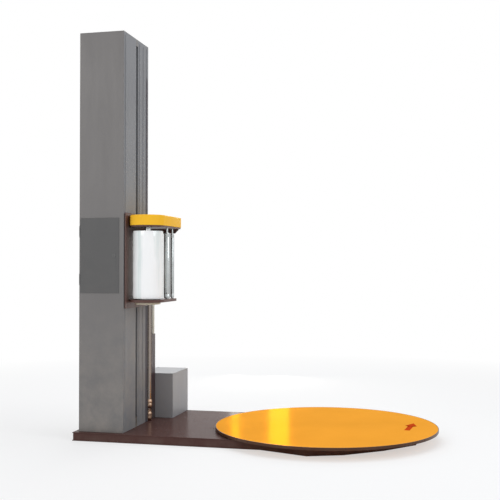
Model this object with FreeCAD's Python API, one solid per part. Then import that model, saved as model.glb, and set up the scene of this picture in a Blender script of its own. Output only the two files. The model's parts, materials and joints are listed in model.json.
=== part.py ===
import FreeCAD, Part
import math
import os

# Turntable pallet wrapper. Millimetres.
# Origin: on the floor, on the turntable's axis. +X runs from the mast to the turntable,
# +Z is up, and -Y is the side with the control cabinet's door.

V = FreeCAD.Vector
X_AXIS = V(1, 0, 0)
Y_AXIS = V(0, 1, 0)
Z_AXIS = V(0, 0, 1)

# ---- fits and gaps ----
RUNNING = 0.05          # radial clearance of a shaft in its bearing or bush
CLEAR = 0.3             # gap between two bodies that move past each other
SLIDE = 0.4             # gap each side of a polymer guide in its rail
CHAIN_GAP = 0.5         # gap between a tooth's tip and the chain or belt round it
FLUSH = 1.0             # sheet cover set back from a neighbour's edge

# ---- turntable ----
TABLE_R = 825.0
TABLE_TOP = 90.0
TABLE_PLATE = 6.0
RIM_THICK = 4.0
RIM_DEPTH = 20.0
WHEEL_COUNT = 4
WHEEL_RING_R = 525.0
WHEEL_R = 29.0
WHEEL_WIDTH = 24.0
WHEEL_AXLE_R = 6.0
CHEEK = 5.0
CHEEK_HALF = 22.0
CHEEK_GAP = 1.0
AXLE_END = 3.0
POST_R = 25.0
POST_FLANGE_R = 90.0
POST_FLANGE = 10.0
POST_SHOULDER = 4.0
POST_END = 2.0
BEARING_R = 45.0
BEARING_HEIGHT = 20.0
BEARING_Z = 50.0
HUB_R = 75.0
HUB_FLANGE_R = 110.0
HUB_FLANGE = 8.0

# ---- turntable chain drive ----
CHAIN_PITCH = 25.4
TABLE_TEETH = 62
DRIVE_TEETH = 13
SPROCKET_THICK = 10.0
SPROCKET_Z = 32.0
TOOTH_HEIGHT = 4.0
CHAIN_THICK = 14.0
CHAIN_HEIGHT = 14.0
DRIVE_X = -1394.0
DRIVE_Y = 366.0
DRIVE_SHAFT_R = 15.0
DRIVE_SHAFT_DOWN = 8.0
DRIVE_SHAFT_UP = 75.0
DRIVE_BORE_DEEP = 80.0
DECK_HOLE_GAP = 5.0
GEARBOX_HALF = 65.0
GEARBOX_H = 100.0
MOTOR_R = 62.0
MOTOR_LEN = 190.0
COWL_R = 66.0
COWL_LEN = 35.0

# ---- base ----
BASE_H = 62.0
BASE_SHEET = 6.0
BASE_BACK_X = -1785.0
BASE_HALF_W = 567.0
NECK_X = -375.0
OPENING_X = -560.0
LEDGE = 40.0
SKIRT_INSET = 5.0
# plan of the round end, half of it, from the straight side to the nose
SHOULDER = [(NECK_X, BASE_HALF_W), (-30.0, 692.0), (210.0, 600.0), (460.0, 400.0), (670.0, 150.0)]

# ---- mast ----
MAST_X0 = -1752.0
MAST_X1 = -1406.0
MAST_Y0 = -525.0
MAST_Y1 = -11.0
MAST_TOP = 3001.0
MAST_SHEET = 4.0
SLOT_Y = -255.0
SLOT_W = 39.0
SLOT_Z0 = 139.0
SLOT_Z1 = MAST_TOP - 52.0
SLOT_RETURN = 22.0
BEAD_W = 12.0
BEAD_H = 3.0
BEAD_END = 20.0         # from a bead's end to the end of its sheet
BEADS_NEAR = (-490.0,)
BEADS_FAR = (-200.0, -120.0, -45.0)
FOOT_BAR = 10.0
FOOT_BAR_W = 50.0
FORK_GAP = 4.0
FORK_CHEEK = 8.0
FORK_HALF = 18.0
FORK_FOOT_HALF = 30.0
FORK_PIN_END = 4.0

# ---- lifting gear in the mast ----
RAIL_IN = 100.0
RAIL_W = 30.0
RAIL_DEPTH = 60.0
RAIL_WALL = 4.0
LIFT_X = -1520.0
LIFT_TOP_Z = MAST_TOP - 221.0
LIFT_LOW_Z = 160.0
LIFT_PITCH = 19.05
LIFT_TEETH = 13
LIFT_SHAFT_R = 12.5
IDLER_PIN_R = 10.0
LIFT_CHAIN_THICK = 12.0
LIFT_CHAIN_W = 12.0
LIFT_SPROCKET_W = 9.0
LIFT_SHAFT_FREE = 20.0
LIFT_SHAFT_DEEP = 145.0
LIFT_BORE_DEEP = 150.0
LIFT_BOX_Y = 60.0       # from the lifting chain's plane to the gearbox
LIFT_BOX_W = 95.0
LIFT_BOX_REAR = 70.0
LIFT_BOX_HALF = 65.0
LIFT_MOTOR_R = 55.0
LIFT_MOTOR_LEN = 225.0
LIFT_MOTOR_BACK = 20.0
LIFT_BRACKET_HALF = 50.0
RAIL_GAP = 5.0          # between the gearbox or the trolley's plate and the rails

# ---- carriage, at its rest height ----
CARR_GAP = 5.0
BACK_THICK = 8.0
BACK_Y0 = -515.0
BACK_Y1 = -60.0
BACK_Z0 = 966.0
BACK_Z1 = 1668.0
FILM_Y = -405.0
COVER_R = 131.5
COVER_Y1 = 0.0
COVER_Z0 = 1575.0
COVER_H = 76.0
COVER_WALL = 3.0
COVER_CORNER = 25.0
TOP_PLATE = 12.0
PLATE_INSET = 3.0
TOP_FLANGE = 4.0
TOP_FLANGE_DROP = 33.0
TOP_FLANGE_CORNER = 28.0
LOW_PLATE_Z = 1030.0
LOW_PLATE = 8.0
LOW_SKIRT = 20.0
LOW_PLATE_Y1 = -100.0
TROLLEY_Z = 1315.0
TROLLEY_H = 250.0
TROLLEY_PLATE = 8.0
NECK_W = 28.0
NECK_H = 170.0
NECK_GAP = 4.0          # between the trolley's plate and the slot's folded edges
LUG_HALF_W = 10.0
LUG_HALF = 30.0
GUIDE_END = 5.0
GUIDE_H = 60.0

# ---- film and rollers ----
FILM_R = 113.0
FILM_W = 500.0
FILM_Z0 = 1036.0
CORE_R = 43.0
MANDREL_R = 38.0
SPINDLE_R = 12.0
SPINDLE_NUB_R = 22.0
SPINDLE_SEAT_R = 68.0
SPINDLE_UNDER = 46.0
SPINDLE_INTO_TOP = 6.0
FILM_END = 2.0          # film set back from its core's end
BRAKE_R = 93.5
BRAKE_H = 15.0
ROLLER_X = -1165.0
STRETCH_Y = -255.0
STRETCH_R = 24.0
STRETCH_SHAFT_R = 8.0
STRETCH_PULLEY_R = 26.0
GUIDE_Y = -130.0
GUIDE_R = 14.0
GUIDE_SHAFT_R = 6.0
GUIDE_PULLEY_R = 10.0
BELT_THICK = 3.5
BELT_W = 12.0
PULLEY_GAP = 8.0        # from the top plate to the pulleys
BELT_INSET = 1.0
ROLLER_END = 5.0
ROLLER_COLLAR = 3.0
ROLLER_SHAFT_DOWN = 6.0
ROLLER_SHAFT_UP = 26.0

# ---- drive box on the base ----
BOX_X0 = -1530.0
BOX_X1 = -1258.0
BOX_Y0 = 167.0
BOX_Y1 = 565.0
BOX_TOP = 417.0
BOX_SHEET = 2.5
BOX_LID = 10.0

# ---- pipes and cable run beside the mast ----
PIPE_X = -1408.0
PIPE_Y = 26.0
PIPE_R = 20.5
PIPE_BEND = 60.0
PIPE_TOP = 1290.0
COUPLING_R = 27.5
COUPLING_TOP = 230.0
COUPLING_GAP_Z = 150.0
COUPLING_NECK = 12.0
COUPLING_ROUND = 9.0
TRUNK_X0 = -1446.0
TRUNK_Y0 = 75.0
TRUNK_Y1 = 165.0
TRUNK_TOP = 735.0
HOSE_R = 14.0
HOSE_X = -1420.5
HOSE_Y = 149.0
HOSE_BEND = 45.0
JUNCTION_X0 = -1580.0
JUNCTION_X1 = -1470.0
JUNCTION_Y1 = 172.0
JUNCTION_Z0 = 1220.0
JUNCTION_Z1 = 1380.0
JUNCTION_ROUND = 8.0
HOSE_DROP = 40.0        # from the junction box's top to the hose

# ---- control cabinet in the mast ----
DOOR_X0 = -1743.7
DOOR_X1 = -1440.0
DOOR_Z0 = 1078.0
DOOR_Z1 = 1629.0
DOOR_THICK = 3.0
DOOR_LAP = 12.0
HINGE_X = -1748.0
HINGE_OUT = 4.0
HINGE_PIN_R = 2.0
HINGE_EYE_R = 3.9
HINGE_LEN = 60.0
HINGE_LUG = 12.0
HINGE_LUG_HALF = 2.5
HINGE_END = 70.0        # from the door's end to the nearer knuckle
LEAF_THICK = 2.0
LEAF_LAP = 6.0
LOCK_X = -1478.0
LOCK_R = 11.0
LOCK_CAM = 36.0
LOCK_CAM_HALF = 9.0
LOCK_CAM_THICK = 3.0
LOCK_HEAD = 3.0
LOCK_SLOT = 16.0
LOCK_SLOT_W = 4.0
TRAY_Y = -437.0
TRAY_X1 = -1520.0
TRAY_SHEET = 3.0
TRAY_FLANGE = 14.0
TRAY_END = 10.0
DEVICE_MARGIN = 18.0
DEVICE_ROW = 190.0
# each device's offset along the row, width, depth, lower end and upper end
INVERTER = (0.0, 95.0, 62.0, 1400.0, 1570.0)
CONTROLLER = (105.0, 85.0, 55.0, 1420.0, 1560.0)
TERMINALS = (0.0, DEVICE_ROW, 35.0, 1150.0, 1190.0)
CONTACTORS = (0.0, 120.0, 48.0, 1260.0, 1330.0)

# ---- operator panel on the mast's rear ----
PANEL_Y0 = -400.0
PANEL_Y1 = -140.0
PANEL_Z0 = 1130.0
PANEL_Z1 = 1430.0
PANEL_DEPTH = 30.0
PANEL_SHEET = 3.0
PANEL_WINDOW = 30.0     # from the panel's side to the opening behind it
BUTTON_TRAVEL = 4.0
BUTTON_R = 12.0
BUTTON_STEM_R = 8.0
BUTTON_STEM_IN = 8.0
BUTTON_COLLAR = 3.0
BUTTON_HEAD = 6.0
BUTTON_ROUND = 2.0
STOP_HEAD = 14.0
STOP_HEAD_R = 20.0
START_AT = (-330.0, 1280.0)
STOP_AT = (-270.0, 1280.0)
ESTOP_AT = (-205.0, 1280.0)
SWITCH_AT = (-205.0, 1375.0)
SWITCH_R = 26.0
SWITCH_DISC = 5.0
SWITCH_GRIP = 13.0
SWITCH_GRIP_HALF_W = 6.0
SWITCH_GRIP_HALF = 22.0
SWITCH_STEM_IN = 12.0
GLAND_Z = 150.0
GLAND_BORE = 6.5
GLAND_R = 14.0
GLAND_LEN = 32.0
GLAND_HEX = 9.0
GLAND_NUT = 5.0
GLAND_THREAD_R = 9.4
GLAND_FIT = 0.1

# ---- screws ----
SCREW_R = 6.0
SCREW_HEAD = 3.0
REAR_ROWS = 7
REAR_SCREW_IN = 22.0
REAR_SCREW_END = 60.0
LID_SCREW_IN = 18.0

# ---- worked out from the sizes above ----
DECK_Z = BASE_H - BASE_SHEET
TABLE_UNDER = TABLE_TOP - TABLE_PLATE
WHEEL_Z = TABLE_UNDER - CLEAR - WHEEL_R
BACK_X0 = MAST_X1 + CARR_GAP
BACK_X1 = BACK_X0 + BACK_THICK
FILM_X = BACK_X1 + COVER_R
FILM_Z1 = FILM_Z0 + FILM_W
MAST_IN = MAST_X1 - MAST_SHEET
RAIL_X0 = MAST_IN - RAIL_DEPTH
CAP_Z = MAST_TOP - MAST_SHEET
PANEL_X = MAST_X0 - PANEL_DEPTH
HINGE_Y = MAST_Y0 - HINGE_OUT


def pitch_radius(pitch, teeth):
    """Pitch circle of a chain wheel."""
    return pitch / (2 * math.sin(math.pi / teeth))


TABLE_SPROCKET_R = pitch_radius(CHAIN_PITCH, TABLE_TEETH)
DRIVE_SPROCKET_R = pitch_radius(CHAIN_PITCH, DRIVE_TEETH)
LIFT_R = pitch_radius(LIFT_PITCH, LIFT_TEETH)


# ---------------- small shape tools ----------------

def block(x0, x1, y0, y1, z0, z1):
    return Part.makeBox(x1 - x0, y1 - y0, z1 - z0, V(x0, y0, z0))


def rod(x, y, z0, z1, r):
    """Upright cylinder."""
    return Part.makeCylinder(r, z1 - z0, V(x, y, z0), Z_AXIS)


def rod_x(x0, x1, y, z, r):
    return Part.makeCylinder(r, x1 - x0, V(x0, y, z), X_AXIS)


def rod_y(x, y0, y1, z, r):
    return Part.makeCylinder(r, y1 - y0, V(x, y0, z), Y_AXIS)


def ring(x, y, z0, z1, r_out, r_in):
    return rod(x, y, z0, z1, r_out).cut(rod(x, y, z0, z1, r_in))


def plate(points, z0, z1):
    """Flat plate of a polygon's outline."""
    corners = [V(x, y, z0) for x, y in points]
    outline = Part.makePolygon(corners + corners[:1])
    return Part.Face(outline).extrude(V(0, 0, z1 - z0))


def merged(solids):
    """One solid from touching or overlapping shapes."""
    whole = solids[0].multiFuse(solids[1:]) if len(solids) > 1 else solids[0]
    return whole.removeSplitter()


def chain_wheel(pitch, teeth, thick):
    """Chain wheel lying flat about the origin: a disc with cropped teeth."""
    pitch_r = pitch_radius(pitch, teeth)
    root = pitch_r - TOOTH_HEIGHT
    tip = pitch_r + TOOTH_HEIGHT
    step = 2 * math.pi / teeth
    points = []
    for tooth in range(teeth):
        for radius, share in ((root, -0.30), (tip, -0.12), (tip, 0.12), (root, 0.30)):
            angle = (tooth + share) * step
            points.append((radius * math.cos(angle), radius * math.sin(angle)))
    return plate(points, 0.0, thick)


def loop_outline(x0, y0, r0, x1, y1, r1, z):
    """Outline of a band drawn tight round two circles, as two lines and two arcs."""
    span = math.hypot(x1 - x0, y1 - y0)
    line = math.atan2(y1 - y0, x1 - x0)
    lean = math.acos((r0 - r1) / span)

    def at(cx, cy, r, angle):
        return V(cx + r * math.cos(angle), cy + r * math.sin(angle), z)

    left0 = at(x0, y0, r0, line + lean)
    left1 = at(x1, y1, r1, line + lean)
    right0 = at(x0, y0, r0, line - lean)
    right1 = at(x1, y1, r1, line - lean)
    nose = at(x1, y1, r1, line)
    tail = at(x0, y0, r0, line + math.pi)
    edges = [
        Part.LineSegment(left0, left1).toShape(),
        Part.Arc(left1, nose, right1).toShape(),
        Part.LineSegment(right1, right0).toShape(),
        Part.Arc(right0, tail, left0).toShape(),
    ]
    return Part.Face(Part.Wire(edges))


def band(x0, y0, r0, x1, y1, r1, thick, z0, height):
    """Chain or belt round two wheels whose tips have radii r0 and r1."""
    outer = loop_outline(x0, y0, r0 + thick, x1, y1, r1 + thick, z0)
    inner = loop_outline(x0, y0, r0, x1, y1, r1, z0)
    return outer.cut(inner).extrude(V(0, 0, height)).Solids[0]


def save(name, *solids):
    shape = solids[0] if len(solids) == 1 else Part.makeCompound(list(solids))
    shape.exportStep("parts/" + name + ".step")


# ---------------- base ----------------

def mirrored_outline(half):
    """Closed outline from its +Y half: along the +Y side, round the nose, back along -Y."""
    return half + [(x, -y) for x, y in reversed(half)]


def inset_line(start, end, distance):
    """The line from start to end, moved to its right by a distance."""
    dx = end[0] - start[0]
    dy = end[1] - start[1]
    length = math.hypot(dx, dy)
    shift_x = dy / length * distance
    shift_y = -dx / length * distance
    return (start[0] + shift_x, start[1] + shift_y), (dx, dy)


def crossing(line_a, line_b):
    (ax, ay), (adx, ady) = line_a
    (bx, by), (bdx, bdy) = line_b
    cross = adx * bdy - ady * bdx
    along = ((bx - ax) * bdy - (by - ay) * bdx) / cross
    return (ax + along * adx, ay + along * ady)


def inset_outline(points, distance):
    """An outline that runs clockwise, moved inwards by a distance on every side."""
    count = len(points)
    lines = [inset_line(points[i], points[(i + 1) % count], distance) for i in range(count)]
    return [crossing(lines[i - 1], lines[i]) for i in range(count)]


def base_outline():
    return mirrored_outline([(BASE_BACK_X, BASE_HALF_W)] + SHOULDER)


def base_plate():
    """Floor sheet of the base, welded up from a straight and a round part."""
    straight = block(BASE_BACK_X, NECK_X, -BASE_HALF_W, BASE_HALF_W, 0.0, BASE_SHEET)
    round_end = plate(mirrored_outline(SHOULDER), 0.0, BASE_SHEET)
    save("base_plate", straight, round_end)


def base_skirt():
    """Upright side walls of the base, one strip for each side of the outline."""
    outer = inset_outline(base_outline(), SKIRT_INSET)
    inner = inset_outline(base_outline(), SKIRT_INSET + BASE_SHEET)
    walls = []
    for i in range(len(outer)):
        j = (i + 1) % len(outer)
        walls.append(plate([outer[i], outer[j], inner[j], inner[i]], BASE_SHEET, DECK_Z))
    save("base_skirt", *walls)


def base_deck():
    """Deck sheet under the mast, and the ledge that runs on round the turntable's well."""
    main = block(BASE_BACK_X, OPENING_X, -BASE_HALF_W, BASE_HALF_W, DECK_Z, BASE_H)
    shaft_hole = rod(DRIVE_X, DRIVE_Y, DECK_Z - 1, BASE_H + 1, DRIVE_SHAFT_R + DECK_HOLE_GAP)
    main = main.cut(shaft_hole)
    outer = mirrored_outline([(OPENING_X, BASE_HALF_W)] + SHOULDER)
    lines = inset_outline(outer, LEDGE)
    lines[0] = (OPENING_X, BASE_HALF_W - LEDGE)
    lines[-1] = (OPENING_X, LEDGE - BASE_HALF_W)
    strips = []
    for i in range(len(outer) - 1):
        corners = [outer[i], outer[i + 1], lines[i + 1], lines[i]]
        strips.append(plate(corners, DECK_Z, BASE_H))
    save("base_deck", main, *strips)


# ---------------- turntable ----------------

def pivot_post():
    flange = rod(0, 0, BASE_SHEET, BASE_SHEET + POST_FLANGE, POST_FLANGE_R)
    post = rod(0, 0, BASE_SHEET, BEARING_Z + BEARING_HEIGHT + POST_END, POST_R)
    shoulder = rod(0, 0, BASE_SHEET, BEARING_Z, POST_R + POST_SHOULDER)
    save("pivot_post", merged([flange, post, shoulder]))


def pivot_bearing():
    top = BEARING_Z + BEARING_HEIGHT
    save("pivot_bearing", ring(0, 0, BEARING_Z, top, BEARING_R, POST_R))


def turntable_hub():
    """Hub round the bearing, with the flange that the chain wheel is bolted under."""
    barrel = rod(0, 0, SPROCKET_Z, TABLE_UNDER, HUB_R)
    flange_z = SPROCKET_Z + SPROCKET_THICK
    flange = rod(0, 0, flange_z, flange_z + HUB_FLANGE, HUB_FLANGE_R)
    head = rod(0, 0, TABLE_UNDER - HUB_FLANGE, TABLE_UNDER, HUB_FLANGE_R)
    bore = rod(0, 0, SPROCKET_Z - 1, BEARING_Z + BEARING_HEIGHT + 2 * POST_END, BEARING_R + RUNNING)
    save("turntable_hub", merged([barrel, flange, head]).cut(bore))


def turntable_plate():
    save("turntable_plate", rod(0, 0, TABLE_UNDER, TABLE_TOP, TABLE_R - RIM_THICK))


def turntable_rim():
    """Rolled steel band round the plate, which hides its edge and the wheels."""
    save("turntable_rim", ring(0, 0, TABLE_TOP - RIM_DEPTH, TABLE_TOP, TABLE_R, TABLE_R - RIM_THICK))


def turntable_sprocket():
    wheel = chain_wheel(CHAIN_PITCH, TABLE_TEETH, SPROCKET_THICK)
    wheel.translate(V(0, 0, SPROCKET_Z))
    wheel = wheel.cut(rod(0, 0, SPROCKET_Z - 1, SPROCKET_Z + SPROCKET_THICK + 1, HUB_R + FLUSH))
    save("turntable_sprocket", wheel)


def turntable_drive_sprocket():
    """Small chain wheel on the gearmotor's shaft, below the deck."""
    wheel = chain_wheel(CHAIN_PITCH, DRIVE_TEETH, SPROCKET_THICK)
    wheel.translate(V(DRIVE_X, DRIVE_Y, SPROCKET_Z))
    shaft = rod(DRIVE_X, DRIVE_Y, SPROCKET_Z - DRIVE_SHAFT_DOWN, BASE_H + DRIVE_SHAFT_UP, DRIVE_SHAFT_R)
    save("turntable_drive_sprocket", merged([wheel, shaft]))


def turntable_chain():
    """Roller chain round both chain wheels, drawn as one plain band."""
    reach = TOOTH_HEIGHT + CHAIN_GAP
    z0 = SPROCKET_Z + (SPROCKET_THICK - CHAIN_HEIGHT) / 2
    chain = band(DRIVE_X, DRIVE_Y, DRIVE_SPROCKET_R + reach,
                 0.0, 0.0, TABLE_SPROCKET_R + reach, CHAIN_THICK, z0, CHAIN_HEIGHT)
    save("turntable_chain", chain)


def at_wheel(shape, index):
    """Turn a shape drawn on the +X radius to a wheel's place on the ring."""
    angle = (index + 0.5) * 360.0 / WHEEL_COUNT
    shape.rotate(V(0, 0, 0), Z_AXIS, angle)
    return shape


def wheel_brackets():
    """Forked brackets on the floor sheet, each with its axle."""
    brackets = []
    inside = WHEEL_RING_R - WHEEL_WIDTH / 2 - CHEEK_GAP
    outside = WHEEL_RING_R + WHEEL_WIDTH / 2 + CHEEK_GAP
    top = WHEEL_Z + 2 * WHEEL_AXLE_R
    for index in range(WHEEL_COUNT):
        foot = block(inside - CHEEK, outside + CHEEK, -CHEEK_HALF, CHEEK_HALF,
                     BASE_SHEET, BASE_SHEET + CHEEK)
        inner = block(inside - CHEEK, inside, -CHEEK_HALF, CHEEK_HALF, BASE_SHEET, top)
        outer = block(outside, outside + CHEEK, -CHEEK_HALF, CHEEK_HALF, BASE_SHEET, top)
        axle = rod_x(inside - CHEEK - AXLE_END, outside + CHEEK + AXLE_END, 0, WHEEL_Z, WHEEL_AXLE_R)
        brackets.append(at_wheel(merged([foot, inner, outer, axle]), index))
    save("wheel_brackets", *brackets)


def support_wheels():
    """Rollers that carry the rim of the turntable from below."""
    for index in range(WHEEL_COUNT):
        x0 = WHEEL_RING_R - WHEEL_WIDTH / 2
        x1 = WHEEL_RING_R + WHEEL_WIDTH / 2
        wheel = rod_x(x0, x1, 0, WHEEL_Z, WHEEL_R)
        wheel = wheel.cut(rod_x(x0 - 1, x1 + 1, 0, WHEEL_Z, WHEEL_AXLE_R + RUNNING))
        save("support_wheel_%d" % (index + 1), at_wheel(wheel, index))


# ---------------- drive box ----------------

def drive_box_cover():
    """Folded sheet box over the gearmotor, open below and under its lid."""
    top = BOX_TOP - BOX_LID
    outer = block(BOX_X0, BOX_X1, BOX_Y0, BOX_Y1, BASE_H, top)
    inner = block(BOX_X0 + BOX_SHEET, BOX_X1 - BOX_SHEET, BOX_Y0 + BOX_SHEET, BOX_Y1 - BOX_SHEET,
                  BASE_H - 1, top + 1)
    save("drive_box_cover", outer.cut(inner))


def drive_box_lid():
    lid = block(BOX_X0, BOX_X1, BOX_Y0, BOX_Y1, BOX_TOP - BOX_LID, BOX_TOP)
    inner = BOX_SHEET + CLEAR
    lip = block(BOX_X0 + inner, BOX_X1 - inner, BOX_Y0 + inner, BOX_Y1 - inner,
                BOX_TOP - 2 * BOX_LID, BOX_TOP - BOX_LID)
    hollow = block(BOX_X0 + 2 * inner, BOX_X1 - 2 * inner, BOX_Y0 + 2 * inner, BOX_Y1 - 2 * inner,
                   BOX_TOP - 2 * BOX_LID - 1, BOX_TOP - BOX_SHEET)
    save("drive_box_lid", merged([lid, lip]).cut(hollow))


def turntable_gearmotor():
    """Worm gearbox on the deck with its motor upright above it."""
    top = BASE_H + GEARBOX_H
    cowl_z = top + MOTOR_LEN
    gearbox = block(DRIVE_X - GEARBOX_HALF, DRIVE_X + GEARBOX_HALF,
                    DRIVE_Y - GEARBOX_HALF, DRIVE_Y + GEARBOX_HALF, BASE_H, top)
    motor = rod(DRIVE_X, DRIVE_Y, top, cowl_z, MOTOR_R)
    fan_cowl = rod(DRIVE_X, DRIVE_Y, cowl_z, cowl_z + COWL_LEN, COWL_R)
    bore = rod(DRIVE_X, DRIVE_Y, BASE_H - 1, BASE_H + DRIVE_BORE_DEEP, DRIVE_SHAFT_R + RUNNING)
    save("turntable_gearmotor", merged([gearbox, motor, fan_cowl]).cut(bore))


# ---------------- mast ----------------

def mast_side_near():
    """Side panel with the cabinet's cut-out and the door's two hinge pins."""
    panel = block(MAST_X0, MAST_X1, MAST_Y0, MAST_Y0 + MAST_SHEET, BASE_H, CAP_Z)
    cutout = block(DOOR_X0 + DOOR_LAP, DOOR_X1 - DOOR_LAP, MAST_Y0 - 1, MAST_Y0 + MAST_SHEET + 1,
                   DOOR_Z0 + DOOR_LAP, DOOR_Z1 - DOOR_LAP)
    pieces = [panel.cut(cutout)]
    for z in hinge_heights():
        pin_z0 = z - HINGE_LUG - CLEAR
        pin_z1 = z + HINGE_LEN + HINGE_LUG + CLEAR
        pieces.append(rod(HINGE_X, HINGE_Y, pin_z0, pin_z1, HINGE_PIN_R))
        for lug_z in (pin_z0, pin_z1 - HINGE_LUG):
            lug = rod(HINGE_X, HINGE_Y, lug_z, lug_z + HINGE_LUG, HINGE_EYE_R)
            foot = block(HINGE_X - HINGE_LUG_HALF, HINGE_X + HINGE_LUG_HALF, HINGE_Y, MAST_Y0,
                         lug_z, lug_z + HINGE_LUG)
            pieces += [lug, foot]
    save("mast_side_near", merged(pieces))


def hinge_heights():
    """Lower end of each hinge knuckle on the cabinet's door."""
    return (DOOR_Z0 + HINGE_END, DOOR_Z1 - HINGE_END - HINGE_LEN)


def mast_side_far():
    save("mast_side_far", block(MAST_X0, MAST_X1, MAST_Y1 - MAST_SHEET, MAST_Y1, BASE_H, CAP_Z))


def mast_front(name, y_outer, y_slot, beads):
    """Front sheet on one side of the slot, with its folded-in edge and pressed beads."""
    low = min(y_outer, y_slot)
    high = max(y_outer, y_slot)
    sheet = block(MAST_IN, MAST_X1, low, high, BASE_H, CAP_Z)
    inward = MAST_SHEET if y_outer > y_slot else -MAST_SHEET
    fold = block(MAST_IN - SLOT_RETURN, MAST_IN, min(y_slot, y_slot + inward),
                 max(y_slot, y_slot + inward), SLOT_Z0, SLOT_Z1)
    pieces = [sheet, fold]
    for y in beads:
        pieces.append(block(MAST_X1, MAST_X1 + BEAD_H, y - BEAD_W / 2, y + BEAD_W / 2,
                            BASE_H + BEAD_END, CAP_Z - BEAD_END))
    save(name, merged(pieces))


def mast_rear_cover():
    """Removable rear panel, drilled behind the operator panel and for the cable gland."""
    panel = block(MAST_X0, MAST_X0 + MAST_SHEET, MAST_Y0 + MAST_SHEET, MAST_Y1 - MAST_SHEET, BASE_H, CAP_Z)
    window = block(MAST_X0 - 1, MAST_X0 + MAST_SHEET + 1, PANEL_Y0 + PANEL_WINDOW, PANEL_Y1 - PANEL_WINDOW,
                   PANEL_Z0 + PANEL_WINDOW, PANEL_Z1 - PANEL_WINDOW)
    gland_hole = rod_x(MAST_X0 - 1, MAST_X0 + MAST_SHEET + 1, SLOT_Y, GLAND_Z, GLAND_THREAD_R + GLAND_FIT)
    save("mast_rear_cover", panel.cut(window).cut(gland_hole))


def mast_top_cap():
    """Top sheet, and the strip that closes the slot's upper end."""
    cap = block(MAST_X0, MAST_X1, MAST_Y0, MAST_Y1, CAP_Z, MAST_TOP)
    closer = block(MAST_IN, MAST_X1, SLOT_Y - SLOT_W / 2, SLOT_Y + SLOT_W / 2, SLOT_Z1, CAP_Z)
    save("mast_top_cap", cap, closer)


def mast_foot():
    """Foot frame on the deck, the slot's lower closing strip and the idler's fork."""
    x0 = MAST_X0 + MAST_SHEET
    y0 = MAST_Y0 + MAST_SHEET
    y1 = MAST_Y1 - MAST_SHEET
    top = BASE_H + FOOT_BAR
    bars = [
        block(x0, MAST_IN, y0, y0 + FOOT_BAR_W, BASE_H, top),
        block(x0, MAST_IN, y1 - FOOT_BAR_W, y1, BASE_H, top),
        block(x0, x0 + FOOT_BAR_W, y0 + FOOT_BAR_W, y1 - FOOT_BAR_W, BASE_H, top),
        block(MAST_IN - FOOT_BAR_W, MAST_IN, y0 + FOOT_BAR_W, y1 - FOOT_BAR_W, BASE_H, top),
    ]
    closer = block(MAST_IN, MAST_X1, SLOT_Y - SLOT_W / 2, SLOT_Y + SLOT_W / 2, BASE_H, SLOT_Z0)
    fork_in = LIFT_CHAIN_W / 2 + FORK_GAP
    fork_out = fork_in + FORK_CHEEK
    pin_end = fork_out + FORK_PIN_END
    fork = [block(LIFT_X - FORK_FOOT_HALF, LIFT_X + FORK_FOOT_HALF,
                  SLOT_Y - fork_out, SLOT_Y + fork_out, BASE_H, top)]
    for side in (-1, 1):
        near = SLOT_Y + side * fork_in
        far = SLOT_Y + side * fork_out
        fork.append(block(LIFT_X - FORK_HALF, LIFT_X + FORK_HALF, min(near, far), max(near, far),
                          BASE_H, LIFT_LOW_Z + FORK_HALF))
    fork.append(rod_y(LIFT_X, SLOT_Y - pin_end, SLOT_Y + pin_end, LIFT_LOW_Z, IDLER_PIN_R))
    save("mast_foot", *bars, closer, merged(fork))


def guide_rails():
    """Two upright channels behind the front sheets; the trolley's blocks run in them."""
    rails = []
    for side in (-1, 1):
        near = SLOT_Y + side * RAIL_IN
        far = SLOT_Y + side * (RAIL_IN + RAIL_W)
        groove = SLOT_Y + side * (RAIL_IN + RAIL_W - RAIL_WALL)
        z0 = BASE_H + FOOT_BAR
        outer = block(RAIL_X0, MAST_IN, min(near, far), max(near, far), z0, SLOT_Z1)
        inner = block(RAIL_X0 + RAIL_WALL, MAST_IN - RAIL_WALL, min(near - side, groove),
                      max(near - side, groove), z0 - 1, SLOT_Z1 + 1)
        rails.append(outer.cut(inner))
    save("guide_rails", *rails)


def upright_wheel(wheel, z):
    """Stand a flat chain wheel on edge, in the plane of the lifting chain."""
    wheel.translate(V(0, 0, -LIFT_SPROCKET_W / 2))
    wheel.rotate(V(0, 0, 0), X_AXIS, 90)
    wheel.translate(V(LIFT_X, SLOT_Y, z))
    return wheel


def lift_sprockets():
    """Driven chain wheel with its shaft at the top, and the idler at the bottom."""
    driven = upright_wheel(chain_wheel(LIFT_PITCH, LIFT_TEETH, LIFT_SPROCKET_W), LIFT_TOP_Z)
    shaft = rod_y(LIFT_X, SLOT_Y - LIFT_SHAFT_FREE, SLOT_Y + LIFT_SHAFT_DEEP, LIFT_TOP_Z, LIFT_SHAFT_R)
    save("lift_drive_sprocket", merged([driven, shaft]))
    idler = upright_wheel(chain_wheel(LIFT_PITCH, LIFT_TEETH, LIFT_SPROCKET_W), LIFT_LOW_Z)
    half = LIFT_SPROCKET_W
    bore = rod_y(LIFT_X, SLOT_Y - half, SLOT_Y + half, LIFT_LOW_Z, IDLER_PIN_R + RUNNING)
    save("lift_idler_sprocket", idler.cut(bore))


def lift_chain():
    """Lifting chain round the upper and lower chain wheels, drawn as one plain band."""
    tip = LIFT_R + TOOTH_HEIGHT + CHAIN_GAP
    chain = band(0, LIFT_LOW_Z, tip, 0, LIFT_TOP_Z, tip, LIFT_CHAIN_THICK, -LIFT_CHAIN_W / 2, LIFT_CHAIN_W)
    chain.rotate(V(0, 0, 0), X_AXIS, 90)
    chain.translate(V(LIFT_X, SLOT_Y, 0))
    save("lift_chain", chain)


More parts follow.
